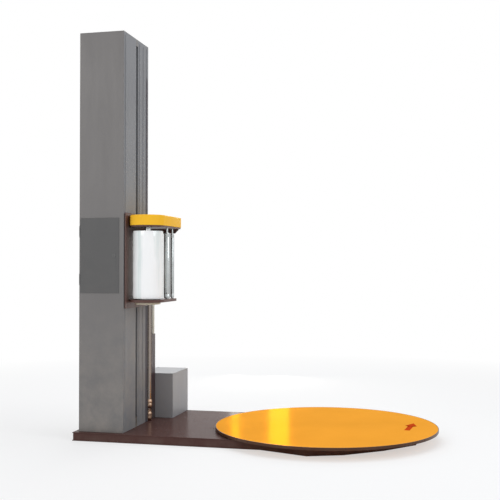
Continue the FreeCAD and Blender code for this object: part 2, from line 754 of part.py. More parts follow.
def lift_gearmotor():
    """Gearbox with a hollow output at the driven wheel's shaft, motor hanging below."""
    y0 = SLOT_Y + LIFT_BOX_Y
    y1 = y0 + LIFT_BOX_W
    z0 = LIFT_TOP_Z - LIFT_BOX_HALF
    gearbox = block(LIFT_X - LIFT_BOX_REAR, RAIL_X0 - RAIL_GAP, y0, y1, z0, LIFT_TOP_Z + LIFT_BOX_HALF)
    motor = rod(LIFT_X - LIFT_MOTOR_BACK, (y0 + y1) / 2, z0 - LIFT_MOTOR_LEN, z0, LIFT_MOTOR_R)
    bracket = block(LIFT_X - LIFT_BRACKET_HALF, LIFT_X + LIFT_BRACKET_HALF, y1, MAST_Y1 - MAST_SHEET,
                    LIFT_TOP_Z - LIFT_BRACKET_HALF, LIFT_TOP_Z + LIFT_BRACKET_HALF)
    bore = rod_y(LIFT_X, y0 - 1, SLOT_Y + LIFT_BORE_DEEP, LIFT_TOP_Z, LIFT_SHAFT_R + RUNNING)
    save("lift_gearmotor", merged([gearbox, motor, bracket]).cut(bore))


# ---------------- pipes and cable run beside the mast ----------------

def bent_pipe(x, y, z0, z_top, bend, x_end, radius):
    """Pipe that rises, then bends over to run towards -X at the height z_top."""
    start = V(x, y, z0)
    bend_in = V(x, y, z_top - bend)
    bend_out = V(x - bend, y, z_top)
    half = bend * math.sqrt(0.5)
    middle = V(x - bend + half, y, z_top - bend + half)
    edges = [
        Part.LineSegment(start, bend_in).toShape(),
        Part.Arc(bend_in, middle, bend_out).toShape(),
    ]
    if x - bend > x_end + 0.5:
        edges.append(Part.LineSegment(bend_out, V(x_end, y, z_top)).toShape())
    path = Part.Wire(edges)
    profile = Part.Wire([Part.Circle(start, Z_AXIS, radius).toShape()])
    return path.makePipeShell([profile], True, False)


def standpipe():
    """Chromed conduit pipe beside the mast's front corner."""
    outer = bent_pipe(PIPE_X, PIPE_Y, COUPLING_GAP_Z, PIPE_TOP, PIPE_BEND, JUNCTION_X1, PIPE_R)
    save("standpipe", outer)


def standpipe_couplings():
    """Lower union, which carries the pipe's foot on its neck, and the upper union round the pipe."""
    neck_z = COUPLING_GAP_Z - COUPLING_NECK
    lower = rod(PIPE_X, PIPE_Y, BASE_H, neck_z, COUPLING_R)
    lower = lower.makeFillet(COUPLING_ROUND, [lower.Edges[0]])
    neck = rod(PIPE_X, PIPE_Y, neck_z, COUPLING_GAP_Z, PIPE_R)
    upper = ring(PIPE_X, PIPE_Y, COUPLING_GAP_Z + COUPLING_NECK, COUPLING_TOP, COUPLING_R, PIPE_R)
    save("standpipe_couplings", merged([lower, neck]), upper)


def cable_trunking():
    save("cable_trunking", block(TRUNK_X0, MAST_X1, TRUNK_Y0, TRUNK_Y1, BASE_H, TRUNK_TOP))


def flexible_conduit():
    """Corrugated conduit from the trunking's top to the junction box."""
    hose_top = JUNCTION_Z1 - HOSE_DROP
    save("flexible_conduit", bent_pipe(HOSE_X, HOSE_Y, TRUNK_TOP, hose_top, HOSE_BEND, JUNCTION_X1, HOSE_R))


def junction_box():
    box = block(JUNCTION_X0, JUNCTION_X1, MAST_Y1, JUNCTION_Y1, JUNCTION_Z0, JUNCTION_Z1)
    upright = [edge for edge in box.Edges if edge.BoundBox.ZLength > JUNCTION_Z1 - JUNCTION_Z0 - 1]
    outer_edges = [edge for edge in upright if edge.BoundBox.YMin > MAST_Y1 + 1]
    save("junction_box", box.makeFillet(JUNCTION_ROUND, outer_edges))


# ---------------- control cabinet ----------------

def control_door():
    """Flat sheet door with two rolled knuckles, bored for the lock."""
    y1 = MAST_Y0 - CLEAR
    y0 = y1 - DOOR_THICK
    sheet = block(DOOR_X0, DOOR_X1, y0, y1, DOOR_Z0, DOOR_Z1)
    pieces = [sheet]
    for z in hinge_heights():
        knuckle = rod(HINGE_X, HINGE_Y, z, z + HINGE_LEN, HINGE_EYE_R)
        leaf = block(HINGE_X, DOOR_X0 + LEAF_LAP, y0, y0 + LEAF_THICK, z, z + HINGE_LEN)
        pieces += [knuckle, leaf]
    door = merged(pieces)
    for z in hinge_heights():
        door = door.cut(rod(HINGE_X, HINGE_Y, z - 1, z + HINGE_LEN + 1, HINGE_PIN_R + RUNNING))
    door_mid = (DOOR_Z0 + DOOR_Z1) / 2
    save("control_door", door.cut(rod_y(LOCK_X, y0 - 1, y1 + 1, door_mid, LOCK_R + RUNNING)))


def door_lock():
    """Quarter-turn lock: head outside the door, cam inside it."""
    door_out = MAST_Y0 - CLEAR - DOOR_THICK
    mid = (DOOR_Z0 + DOOR_Z1) / 2
    inner_face = MAST_Y0 + MAST_SHEET
    seat = door_out - CLEAR
    cam_y0 = inner_face + LOCK_CAM_THICK
    cam_y1 = cam_y0 + LOCK_CAM_THICK
    head = rod_y(LOCK_X, seat - LOCK_HEAD, seat, mid, LOCK_R + LOCK_HEAD)
    key_slot = block(LOCK_X - LOCK_SLOT_W / 2, LOCK_X + LOCK_SLOT_W / 2, seat - LOCK_HEAD - 1, seat - 1,
                     mid - LOCK_SLOT / 2, mid + LOCK_SLOT / 2)
    barrel = rod_y(LOCK_X, seat, cam_y1, mid, LOCK_R)
    cam = block(LOCK_X - LOCK_CAM_HALF, LOCK_X + LOCK_CAM_HALF, cam_y0, cam_y1,
                mid - LOCK_CAM_HALF, mid + LOCK_CAM)
    save("door_lock", merged([head.cut(key_slot), barrel, cam]))


def control_backplate():
    """Folded mounting sheet behind the door, screwed to the rear panel."""
    rear = MAST_X0 + MAST_SHEET
    z0 = DOOR_Z0 + DOOR_LAP + TRAY_END
    z1 = DOOR_Z1 - DOOR_LAP - TRAY_END
    sheet = block(rear, TRAY_X1, TRAY_Y - TRAY_SHEET, TRAY_Y, z0, z1)
    flange = block(rear, rear + TRAY_SHEET, TRAY_Y, TRAY_Y + TRAY_FLANGE, z0, z1)
    save("control_backplate", merged([sheet, flange]))


def control_devices():
    """Motor inverter, programmable controller and a row of terminals on the sheet."""
    face = TRAY_Y - TRAY_SHEET
    row_x = MAST_X0 + MAST_SHEET + DEVICE_MARGIN
    devices = []
    for offset, width, depth, z0, z1 in (INVERTER, CONTROLLER, TERMINALS, CONTACTORS):
        x0 = row_x + offset
        devices.append(block(x0, x0 + width, face - depth, face, z0, z1))
    save("control_devices", *devices)


# ---------------- operator panel ----------------

def operator_panel():
    """Shallow folded box on the rear panel, with bores for its buttons and switch."""
    outer = block(PANEL_X, MAST_X0, PANEL_Y0, PANEL_Y1, PANEL_Z0, PANEL_Z1)
    inner = block(PANEL_X + PANEL_SHEET, MAST_X0 + 1, PANEL_Y0 + PANEL_SHEET, PANEL_Y1 - PANEL_SHEET,
                  PANEL_Z0 + PANEL_SHEET, PANEL_Z1 - PANEL_SHEET)
    panel = outer.cut(inner)
    for y, z in (START_AT, STOP_AT, ESTOP_AT, SWITCH_AT):
        panel = panel.cut(rod_x(PANEL_X - 1, PANEL_X + PANEL_SHEET + 1, y, z, BUTTON_STEM_R + CLEAR))
    save("operator_panel", panel)


def push_button(name, place, head_r, head_thick):
    """Spring button: cap outside the panel, stem through it, retaining collar inside."""
    y, z = place
    cap_x1 = PANEL_X - BUTTON_TRAVEL - CLEAR
    collar_x0 = PANEL_X + PANEL_SHEET + CLEAR
    cap = rod_x(cap_x1 - head_thick, cap_x1, y, z, head_r)
    cap = cap.makeFillet(min(BUTTON_ROUND, head_thick / 3), [cap.Edges[0], cap.Edges[2]])
    stem = rod_x(cap_x1 - 0.5, collar_x0 + BUTTON_STEM_IN, y, z, BUTTON_STEM_R)
    collar = rod_x(collar_x0, collar_x0 + BUTTON_COLLAR, y, z, BUTTON_STEM_R + BUTTON_COLLAR)
    save(name, merged([cap, stem, collar]))


def main_switch():
    """Rotary isolator: round plate, grip bar and a stem through the panel."""
    y, z = SWITCH_AT
    face = PANEL_X - CLEAR
    disc_x = face - SWITCH_DISC
    disc = rod_x(disc_x, face, y, z, SWITCH_R)
    grip = block(disc_x - SWITCH_GRIP, disc_x, y - SWITCH_GRIP_HALF_W, y + SWITCH_GRIP_HALF_W,
                 z - SWITCH_GRIP_HALF, z + SWITCH_GRIP_HALF)
    stem = rod_x(face, PANEL_X + PANEL_SHEET + SWITCH_STEM_IN, y, z, BUTTON_STEM_R)
    save("main_switch", merged([disc, grip, stem]))


def cable_gland():
    """Supply cable gland in the rear panel: hexagon outside, nut inside."""
    hexagon = plate([(GLAND_R * math.cos(i * math.pi / 3), GLAND_R * math.sin(i * math.pi / 3))
                     for i in range(6)], 0, GLAND_HEX)
    hexagon.rotate(V(0, 0, 0), Y_AXIS, -90)
    hexagon.translate(V(MAST_X0, SLOT_Y, GLAND_Z))
    x0 = MAST_X0 - GLAND_HEX
    inside = MAST_X0 + MAST_SHEET
    thread = rod_x(x0, x0 + GLAND_LEN, SLOT_Y, GLAND_Z, GLAND_THREAD_R)
    nut = rod_x(inside, inside + GLAND_NUT, SLOT_Y, GLAND_Z, GLAND_R - 1)
    bore = rod_x(x0 - 1, x0 + GLAND_LEN + 1, SLOT_Y, GLAND_Z, GLAND_BORE)
    save("cable_gland", merged([hexagon, thread, nut]).cut(bore))


def panel_screws():
    """Pan-head screws of the rear panel and of the drive box's lid."""
    heads = []
    step = (CAP_Z - BASE_H - 2 * REAR_SCREW_END) / (REAR_ROWS - 1)
    for row in range(REAR_ROWS):
        z = BASE_H + REAR_SCREW_END + row * step
        for y in (MAST_Y0 + REAR_SCREW_IN, MAST_Y1 - REAR_SCREW_IN):
            heads.append(rod_x(MAST_X0 - SCREW_HEAD, MAST_X0, y, z, SCREW_R))
    for x in (BOX_X0 + LID_SCREW_IN, BOX_X1 - LID_SCREW_IN):
        for y in (BOX_Y0 + LID_SCREW_IN, BOX_Y1 - LID_SCREW_IN):
            heads.append(rod(x, y, BOX_TOP, BOX_TOP + SCREW_HEAD, SCREW_R))
    save("panel_screws", *heads)


# ---------------- carriage ----------------

def carriage_plan(y_end, inset, z):
    """Plan of the carriage: flat against its back plate, round about the film's axis."""
    x0 = BACK_X1 + inset
    x1 = FILM_X + COVER_R - inset
    r = COVER_R - inset
    end = y_end - inset
    corner = COVER_CORNER - inset
    half = corner * math.sqrt(0.5)
    centre = V(x1 - corner, end - corner, z)
    edges = [
        Part.LineSegment(V(x0, FILM_Y, z), V(x0, end, z)).toShape(),
        Part.LineSegment(V(x0, end, z), V(x1 - corner, end, z)).toShape(),
        Part.Arc(V(x1 - corner, end, z), centre + V(half, half, 0), V(x1, end - corner, z)).toShape(),
        Part.LineSegment(V(x1, end - corner, z), V(x1, FILM_Y, z)).toShape(),
        Part.Arc(V(x1, FILM_Y, z), V(FILM_X, FILM_Y - r, z), V(x0, FILM_Y, z)).toShape(),
    ]
    return Part.Face(Part.Wire(edges))


def carriage_slab(y_end, inset, z0, z1):
    return carriage_plan(y_end, inset, z0).extrude(V(0, 0, z1 - z0))


def carriage_backplate():
    save("carriage_backplate", block(BACK_X0, BACK_X1, BACK_Y0, BACK_Y1, BACK_Z0, BACK_Z1))


def carriage_cover():
    """Deep-drawn cover over the roller drive, open below."""
    outer = carriage_slab(COVER_Y1, 0.0, COVER_Z0, COVER_Z0 + COVER_H)
    inner = carriage_slab(COVER_Y1, COVER_WALL, COVER_Z0 - 1, COVER_Z0 + COVER_H - COVER_WALL)
    save("carriage_cover", outer.cut(inner))


def bearing_holes(slab, z0, z1):
    """Bore a carriage plate for the spindle and both rollers."""
    places = (
        (FILM_X, FILM_Y, SPINDLE_R),
        (ROLLER_X, STRETCH_Y, STRETCH_SHAFT_R),
        (ROLLER_X, GUIDE_Y, GUIDE_SHAFT_R),
    )
    for x, y, r in places:
        slab = slab.cut(rod(x, y, z0 - 1, z1 + 1, r + RUNNING))
    return slab


def flat_to_back(y_end, z0, z1):
    """Squares a carriage plate off against the back plate."""
    return block(BACK_X1, BACK_X1 + PLATE_INSET + 1, FILM_Y, y_end - PLATE_INSET, z0, z1)


def carriage_top_plate():
    """Top plate with its far edge turned down as a flange, whose free corner is cut off."""
    z0 = COVER_Z0 - TOP_PLATE
    slab = carriage_slab(COVER_Y1, PLATE_INSET, z0, COVER_Z0)
    y1 = COVER_Y1 - PLATE_INSET
    x0 = BACK_X1 + PLATE_INSET
    x1 = FILM_X + COVER_R - COVER_CORNER
    low = z0 - TOP_FLANGE_DROP
    corners = [V(x0, y1, z0 + 1), V(x0, y1, low), V(x1 - TOP_FLANGE_CORNER, y1, low),
               V(x1, y1, low + TOP_FLANGE_CORNER), V(x1, y1, z0 + 1)]
    flange = Part.Face(Part.makePolygon(corners + corners[:1])).extrude(V(0, -TOP_FLANGE, 0))
    slab = merged([slab, flat_to_back(BACK_Y1, z0, COVER_Z0), flange])
    save("carriage_top_plate", bearing_holes(slab, z0, COVER_Z0))


def carriage_bottom_plate():
    """Bottom tray: a plate with a skirt turned down round it."""
    z0 = LOW_PLATE_Z - LOW_PLATE
    slab = carriage_slab(LOW_PLATE_Y1, PLATE_INSET, LOW_PLATE_Z - LOW_SKIRT, LOW_PLATE_Z)
    hollow = carriage_slab(LOW_PLATE_Y1, 2 * PLATE_INSET, LOW_PLATE_Z - LOW_SKIRT - 1, z0)
    tray = merged([slab.cut(hollow), flat_to_back(LOW_PLATE_Y1, z0, LOW_PLATE_Z)])
    save("carriage_bottom_plate", bearing_holes(tray, LOW_PLATE_Z - LOW_SKIRT, LOW_PLATE_Z))


def carriage_trolley():
    """Plate inside the mast, its neck through the slot and its lug towards the chain."""
    half = RAIL_IN - RAIL_GAP
    x1 = MAST_IN - SLOT_RETURN - NECK_GAP
    x0 = x1 - TROLLEY_PLATE
    z0 = TROLLEY_Z - TROLLEY_H / 2
    sheet = block(x0, x1, SLOT_Y - half, SLOT_Y + half, z0, z0 + TROLLEY_H)
    neck = block(x1, BACK_X0, SLOT_Y - NECK_W / 2, SLOT_Y + NECK_W / 2,
                 TROLLEY_Z - NECK_H / 2, TROLLEY_Z + NECK_H / 2)
    chain_face = LIFT_X + LIFT_R + TOOTH_HEIGHT + CHAIN_GAP + LIFT_CHAIN_THICK + CLEAR
    lug = block(chain_face, x0, SLOT_Y - LUG_HALF_W, SLOT_Y + LUG_HALF_W,
                TROLLEY_Z - LUG_HALF, TROLLEY_Z + LUG_HALF)
    save("carriage_trolley", merged([sheet, neck, lug]))


def trolley_guides():
    """Four polymer blocks on the trolley's edges, running in the rails' grooves."""
    guides = []
    for side in (-1, 1):
        inner = SLOT_Y + side * (RAIL_IN - RAIL_GAP)
        outer = SLOT_Y + side * (RAIL_IN + RAIL_W - RAIL_WALL - SLIDE)
        low_z = TROLLEY_Z - TROLLEY_H / 2 + GUIDE_END
        high_z = TROLLEY_Z + TROLLEY_H / 2 - GUIDE_END - GUIDE_H
        for z0 in (low_z, high_z):
            guides.append(block(RAIL_X0 + RAIL_WALL + SLIDE, MAST_IN - RAIL_WALL - SLIDE,
                                min(inner, outer), max(inner, outer), z0, z0 + GUIDE_H))
    save("trolley_guides", *guides)


# ---------------- film spindle and rollers ----------------

def film_spindle():
    """Mandrel that fills the film's core, on a shaft that ends in the top plate's bore."""
    shaft = rod(FILM_X, FILM_Y, FILM_Z0 - SPINDLE_UNDER, COVER_Z0 + SPINDLE_INTO_TOP, SPINDLE_R)
    mandrel = rod(FILM_X, FILM_Y, FILM_Z0, FILM_Z1, MANDREL_R)
    seat = rod(FILM_X, FILM_Y, LOW_PLATE_Z + CLEAR, FILM_Z0, SPINDLE_SEAT_R)
    nub = rod(FILM_X, FILM_Y, FILM_Z1, COVER_Z0 - TOP_PLATE - CLEAR, SPINDLE_NUB_R)
    save("film_spindle", merged([shaft, mandrel, seat, nub]))


def film_core():
    save("film_core", ring(FILM_X, FILM_Y, FILM_Z0, FILM_Z1, CORE_R, MANDREL_R))


def film_roll():
    """Wound stretch film, a little inside the ends of its core."""
    save("film_roll", ring(FILM_X, FILM_Y, FILM_Z0 + FILM_END, FILM_Z1 - FILM_END, FILM_R, CORE_R))


def brake_wheel():
    """Disc under the bottom tray that drags on the film's spindle."""
    z1 = LOW_PLATE_Z - LOW_SKIRT - CLEAR
    wheel = ring(FILM_X, FILM_Y, z1 - BRAKE_H, z1, BRAKE_R, SPINDLE_R)
    save("brake_wheel", wheel)


def film_roller(name, y, roller_r, shaft_r, pulley_r):
    """Roller, its shaft through both plates, and its belt pulley inside the cover."""
    z0 = LOW_PLATE_Z + CLEAR
    z1 = COVER_Z0 - TOP_PLATE - CLEAR
    pulley_z = COVER_Z0 + PULLEY_GAP
    shaft_z0 = LOW_PLATE_Z - LOW_PLATE - ROLLER_SHAFT_DOWN
    barrel = rod(ROLLER_X, y, z0 + ROLLER_END, z1 - ROLLER_END, roller_r)
    collar = rod(ROLLER_X, y, z0, z1, shaft_r + ROLLER_COLLAR)
    shaft = rod(ROLLER_X, y, shaft_z0, COVER_Z0 + ROLLER_SHAFT_UP, shaft_r)
    pulley = rod(ROLLER_X, y, pulley_z, pulley_z + BELT_W, pulley_r)
    save(name, merged([barrel, collar, shaft, pulley]))


def stretch_belt():
    """Toothed belt round the two pulleys, drawn as one plain band."""
    belt = band(ROLLER_X, GUIDE_Y, GUIDE_PULLEY_R + CHAIN_GAP, ROLLER_X, STRETCH_Y,
                STRETCH_PULLEY_R + CHAIN_GAP, BELT_THICK,
                COVER_Z0 + PULLEY_GAP + BELT_INSET, BELT_W - 2 * BELT_INSET)
    save("stretch_belt", belt)


def build():
    os.makedirs("parts", exist_ok=True)
    base_plate()
    base_skirt()
    base_deck()
    pivot_post()
    pivot_bearing()
    turntable_hub()
    turntable_plate()
    turntable_rim()
    turntable_sprocket()
    turntable_drive_sprocket()
    turntable_chain()
    wheel_brackets()
    support_wheels()
    drive_box_cover()
    drive_box_lid()
    turntable_gearmotor()
    mast_side_near()
    mast_side_far()
    mast_front("mast_front_near", MAST_Y0 + MAST_SHEET, SLOT_Y - SLOT_W / 2, BEADS_NEAR)
    mast_front("mast_front_far", MAST_Y1 - MAST_SHEET, SLOT_Y + SLOT_W / 2, BEADS_FAR)
    mast_rear_cover()
    mast_top_cap()
    mast_foot()
    guide_rails()
    lift_sprockets()
    lift_chain()
    lift_gearmotor()
    standpipe()
    standpipe_couplings()
    cable_trunking()
    flexible_conduit()
    junction_box()
    control_door()
    door_lock()
    control_backplate()
    control_devices()
    operator_panel()
    push_button("start_button", START_AT, BUTTON_R, BUTTON_HEAD)
    push_button("stop_button", STOP_AT, BUTTON_R, BUTTON_HEAD)
    push_button("emergency_stop", ESTOP_AT, STOP_HEAD_R, STOP_HEAD)
    main_switch()
    cable_gland()
    panel_screws()
    carriage_backplate()
    carriage_cover()
    carriage_top_plate()
    carriage_bottom_plate()
    carriage_trolley()
    trolley_guides()
    film_spindle()
    film_core()
    film_roll()
    brake_wheel()
    film_roller("stretch_roller", STRETCH_Y, STRETCH_R, STRETCH_SHAFT_R, STRETCH_PULLEY_R)
    film_roller("guide_roller", GUIDE_Y, GUIDE_R, GUIDE_SHAFT_R, GUIDE_PULLEY_R)
    stretch_belt()


build()
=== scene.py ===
import json
import math

import bmesh
import bpy
import numpy as np
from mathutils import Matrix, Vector

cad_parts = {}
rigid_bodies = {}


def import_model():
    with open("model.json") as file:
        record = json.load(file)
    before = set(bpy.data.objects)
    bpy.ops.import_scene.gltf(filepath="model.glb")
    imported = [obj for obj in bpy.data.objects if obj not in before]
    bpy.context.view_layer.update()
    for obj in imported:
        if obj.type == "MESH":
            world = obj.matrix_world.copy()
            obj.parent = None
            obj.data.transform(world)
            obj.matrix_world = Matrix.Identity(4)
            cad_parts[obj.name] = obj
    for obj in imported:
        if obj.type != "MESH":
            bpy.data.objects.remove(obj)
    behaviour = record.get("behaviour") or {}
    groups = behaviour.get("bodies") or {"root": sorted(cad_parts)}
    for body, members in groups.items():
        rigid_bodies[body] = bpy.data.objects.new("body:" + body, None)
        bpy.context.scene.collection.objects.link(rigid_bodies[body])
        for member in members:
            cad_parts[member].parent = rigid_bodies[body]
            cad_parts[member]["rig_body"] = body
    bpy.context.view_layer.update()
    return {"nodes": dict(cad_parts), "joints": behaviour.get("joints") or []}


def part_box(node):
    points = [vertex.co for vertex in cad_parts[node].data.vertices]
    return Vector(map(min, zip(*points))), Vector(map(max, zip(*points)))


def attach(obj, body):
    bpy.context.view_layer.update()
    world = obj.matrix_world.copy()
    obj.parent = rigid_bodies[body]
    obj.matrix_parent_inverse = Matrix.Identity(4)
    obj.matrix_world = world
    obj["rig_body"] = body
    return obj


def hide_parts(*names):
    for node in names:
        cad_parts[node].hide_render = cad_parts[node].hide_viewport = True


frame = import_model()
joints = {joint["name"]: joint for joint in frame["joints"]}

# ======================================================================================
# Camera, lamps and floor
# A plain pale studio. The camera stands at chest height beside the turntable and looks
# past it to the mast; a pale floor carries on into a white background.
# ======================================================================================
scene = bpy.context.scene
scene.view_settings.view_transform = "Standard"

CAMERA_PLACE = (0.9622, -6.4899, 1.2782)
CAMERA_LENS = 62.77
CAMERA_SENSOR = 36.0
camera_data = bpy.data.cameras.new("camera")
camera_data.lens = CAMERA_LENS
camera_data.sensor_width = CAMERA_SENSOR
camera = bpy.data.objects.new("camera", camera_data)
camera.location = CAMERA_PLACE
look_turn = math.radians(-13.395)
look_rise = math.radians(1.038)
look = Vector((math.sin(look_turn) * math.cos(look_rise),
               math.cos(look_turn) * math.cos(look_rise),
               math.sin(look_rise)))
camera.rotation_mode = "QUATERNION"
camera.rotation_quaternion = look.to_track_quat("-Z", "Y")
scene.collection.objects.link(camera)
scene.camera = camera


def node(tree, kind, inputs=None, **settings):
    """Adds a shader node, gives it its settings, then fills or links its inputs."""
    made = tree.nodes.new("ShaderNode" + kind)
    for key, value in settings.items():
        setattr(made, key, value)
    for key, value in (inputs or {}).items():
        if isinstance(value, bpy.types.NodeSocket):
            tree.links.new(value, made.inputs[key])
        else:
            made.inputs[key].default_value = value
    return made


def panel_lamp(name, place, target, width, height, watts, tint):
    """Soft rectangular lamp that the camera itself doesn't see."""
    data = bpy.data.lights.new(name, "AREA")
    data.shape = "RECTANGLE"
    data.size = width
    data.size_y = height
    data.energy = watts
    data.color = tint
    lamp = bpy.data.objects.new(name, data)
    lamp.location = place
    lamp.rotation_mode = "QUATERNION"
    lamp.rotation_quaternion = (Vector(target) - Vector(place)).to_track_quat("-Z", "Y")
    lamp.visible_camera = False
    scene.collection.objects.link(lamp)


WARM = (1.0, 0.965, 0.93)
COOL = (0.93, 0.975, 1.0)
NEUTRAL = (1.0, 1.0, 1.0)
SKY_TINT = (0.95, 0.98, 1.0)
STRIP_TINT = (1.0, 0.95, 0.80)
STRIP_TARGET = (0.96, -6.5, 1.2)
# Name, place, what it points at, width, height, watts and tint. The two strips stand behind the
# turntable, where its enamel mirrors them towards the camera as two bright bands.
LAMPS = (("lamp_front", (-3.6, -6.5, 3.6), (-1.2, 0.0, 1.1), 3.4, 3.0, 135.0, WARM),
         ("lamp_table_side", (4.6, -2.2, 3.2), (-0.9, 0.0, 0.9), 2.6, 2.6, 70.0, COOL),
         ("lamp_top", (-0.4, 0.6, 5.6), (-0.6, 0.0, 0.0), 4.5, 3.5, 100.0, NEUTRAL),
         ("lamp_back", (-2.4, 5.2, 3.4), (-1.0, 0.0, 0.8), 3.0, 2.2, 48.0, SKY_TINT),
         ("lamp_strip_wide", (-1.05, 3.4, 1.6), STRIP_TARGET, 0.23, 3.2, 11.0, STRIP_TINT),
         ("lamp_strip_narrow", (-1.57, 3.4, 1.6), STRIP_TARGET, 0.09, 3.2, 3.4, STRIP_TINT))
for lamp in LAMPS:
    panel_lamp(*lamp)

world = bpy.data.worlds.new("studio")
scene.world = world
world.use_nodes = True
sky = world.node_tree
sky.nodes.clear()
SKY_STRENGTH = 0.50
seen = node(sky, "LightPath")
straight_or_mirrored = node(sky, "Math", {0: seen.outputs["Is Camera Ray"],
                                          1: seen.outputs["Is Glossy Ray"]}, operation="MAXIMUM")
shown = node(sky, "Math", {0: straight_or_mirrored.outputs[0],
                           1: seen.outputs["Is Transmission Ray"]}, operation="MAXIMUM")
soft = node(sky, "Background", {"Color": (0.93, 0.95, 1.0, 1.0), "Strength": SKY_STRENGTH})
white = node(sky, "Background", {"Color": (1.0, 1.0, 1.0, 1.0), "Strength": 1.0})
either = node(sky, "MixShader", {0: shown.outputs[0], 1: soft.outputs[0], 2: white.outputs[0]})
node(sky, "OutputWorld", {"Surface": either.outputs[0]})

# The floor is a matt sheet near the machine and fades into plain white further away.
FLOOR_HALF = 40
FLOOR_DROP = 0.0005
FADE_CENTRE = (-0.5, 0.0, 0.0)
FADE_START = 2.2
FADE_END = 6.0
floor_mesh = bpy.data.meshes.new("floor")
floor_corners = [(x * FLOOR_HALF, y * FLOOR_HALF, 0) for x, y in ((-1, -1), (1, -1), (1, 1), (-1, 1))]
floor_mesh.from_pydata(floor_corners, [], [(0, 1, 2, 3)])
floor = bpy.data.objects.new("floor", floor_mesh)
floor.location = (0.0, 0.0, -FLOOR_DROP)
scene.collection.objects.link(floor)
floor_paint = bpy.data.materials.new("pale studio floor")
floor_paint.use_nodes = True
tree = floor_paint.node_tree
tree.nodes.clear()
spot = node(tree, "TexCoord")
away = node(tree, "VectorMath", {0: spot.outputs["Object"], 1: FADE_CENTRE}, operation="DISTANCE")
fade = node(tree, "MapRange", {"Value": away.outputs["Value"], "From Min": FADE_START, "From Max": FADE_END})
path = node(tree, "LightPath")
plain = node(tree, "Math", {0: path.outputs["Is Camera Ray"], 1: path.outputs["Is Glossy Ray"]},
             operation="MAXIMUM")
lift = node(tree, "MapRange", {"Value": fade.outputs[0], "To Min": 0.55, "To Max": 1.0})
open_floor = node(tree, "Math", {0: plain.outputs[0], 1: lift.outputs[0]}, operation="MULTIPLY")
matt = node(tree, "BsdfDiffuse", {"Color": (0.93, 0.93, 0.93, 1.0)})
glow = node(tree, "Emission", {"Color": (1.0, 1.0, 1.0, 1.0), "Strength": 1.0})
floor_mix = node(tree, "MixShader", {0: open_floor.outputs[0], 1: matt.outputs[0], 2: glow.outputs[0]})
node(tree, "OutputMaterial", {"Surface": floor_mix.outputs[0]})
floor_mesh.materials.append(floor_paint)

# ======================================================================================
# Base: floor sheet, side walls and deck
# Sheet steel, folded and welded into a keyhole-shaped box 62 mm high, then painted a
# glossy dark brown. The deck runs on round the turntable's well as a narrow ledge.
# ======================================================================================


def effect(name, inputs, outputs):
    """A shader node group with named inputs and outputs, and its two end nodes."""
    group = bpy.data.node_groups.new(name, "ShaderNodeTree")
    for label, kind, value in inputs:
        socket = group.interface.new_socket(label, in_out="INPUT", socket_type="NodeSocket" + kind)
        socket.default_value = value
    for label, kind in outputs:
        group.interface.new_socket(label, in_out="OUTPUT", socket_type="NodeSocket" + kind)
    return group, group.nodes.new("NodeGroupInput"), group.nodes.new("NodeGroupOutput")


def fill_outputs(group, end, values):
    """Links each named output of a group to the socket that gives it."""
    for label, socket in values.items():
        group.links.new(socket, end.inputs[label])


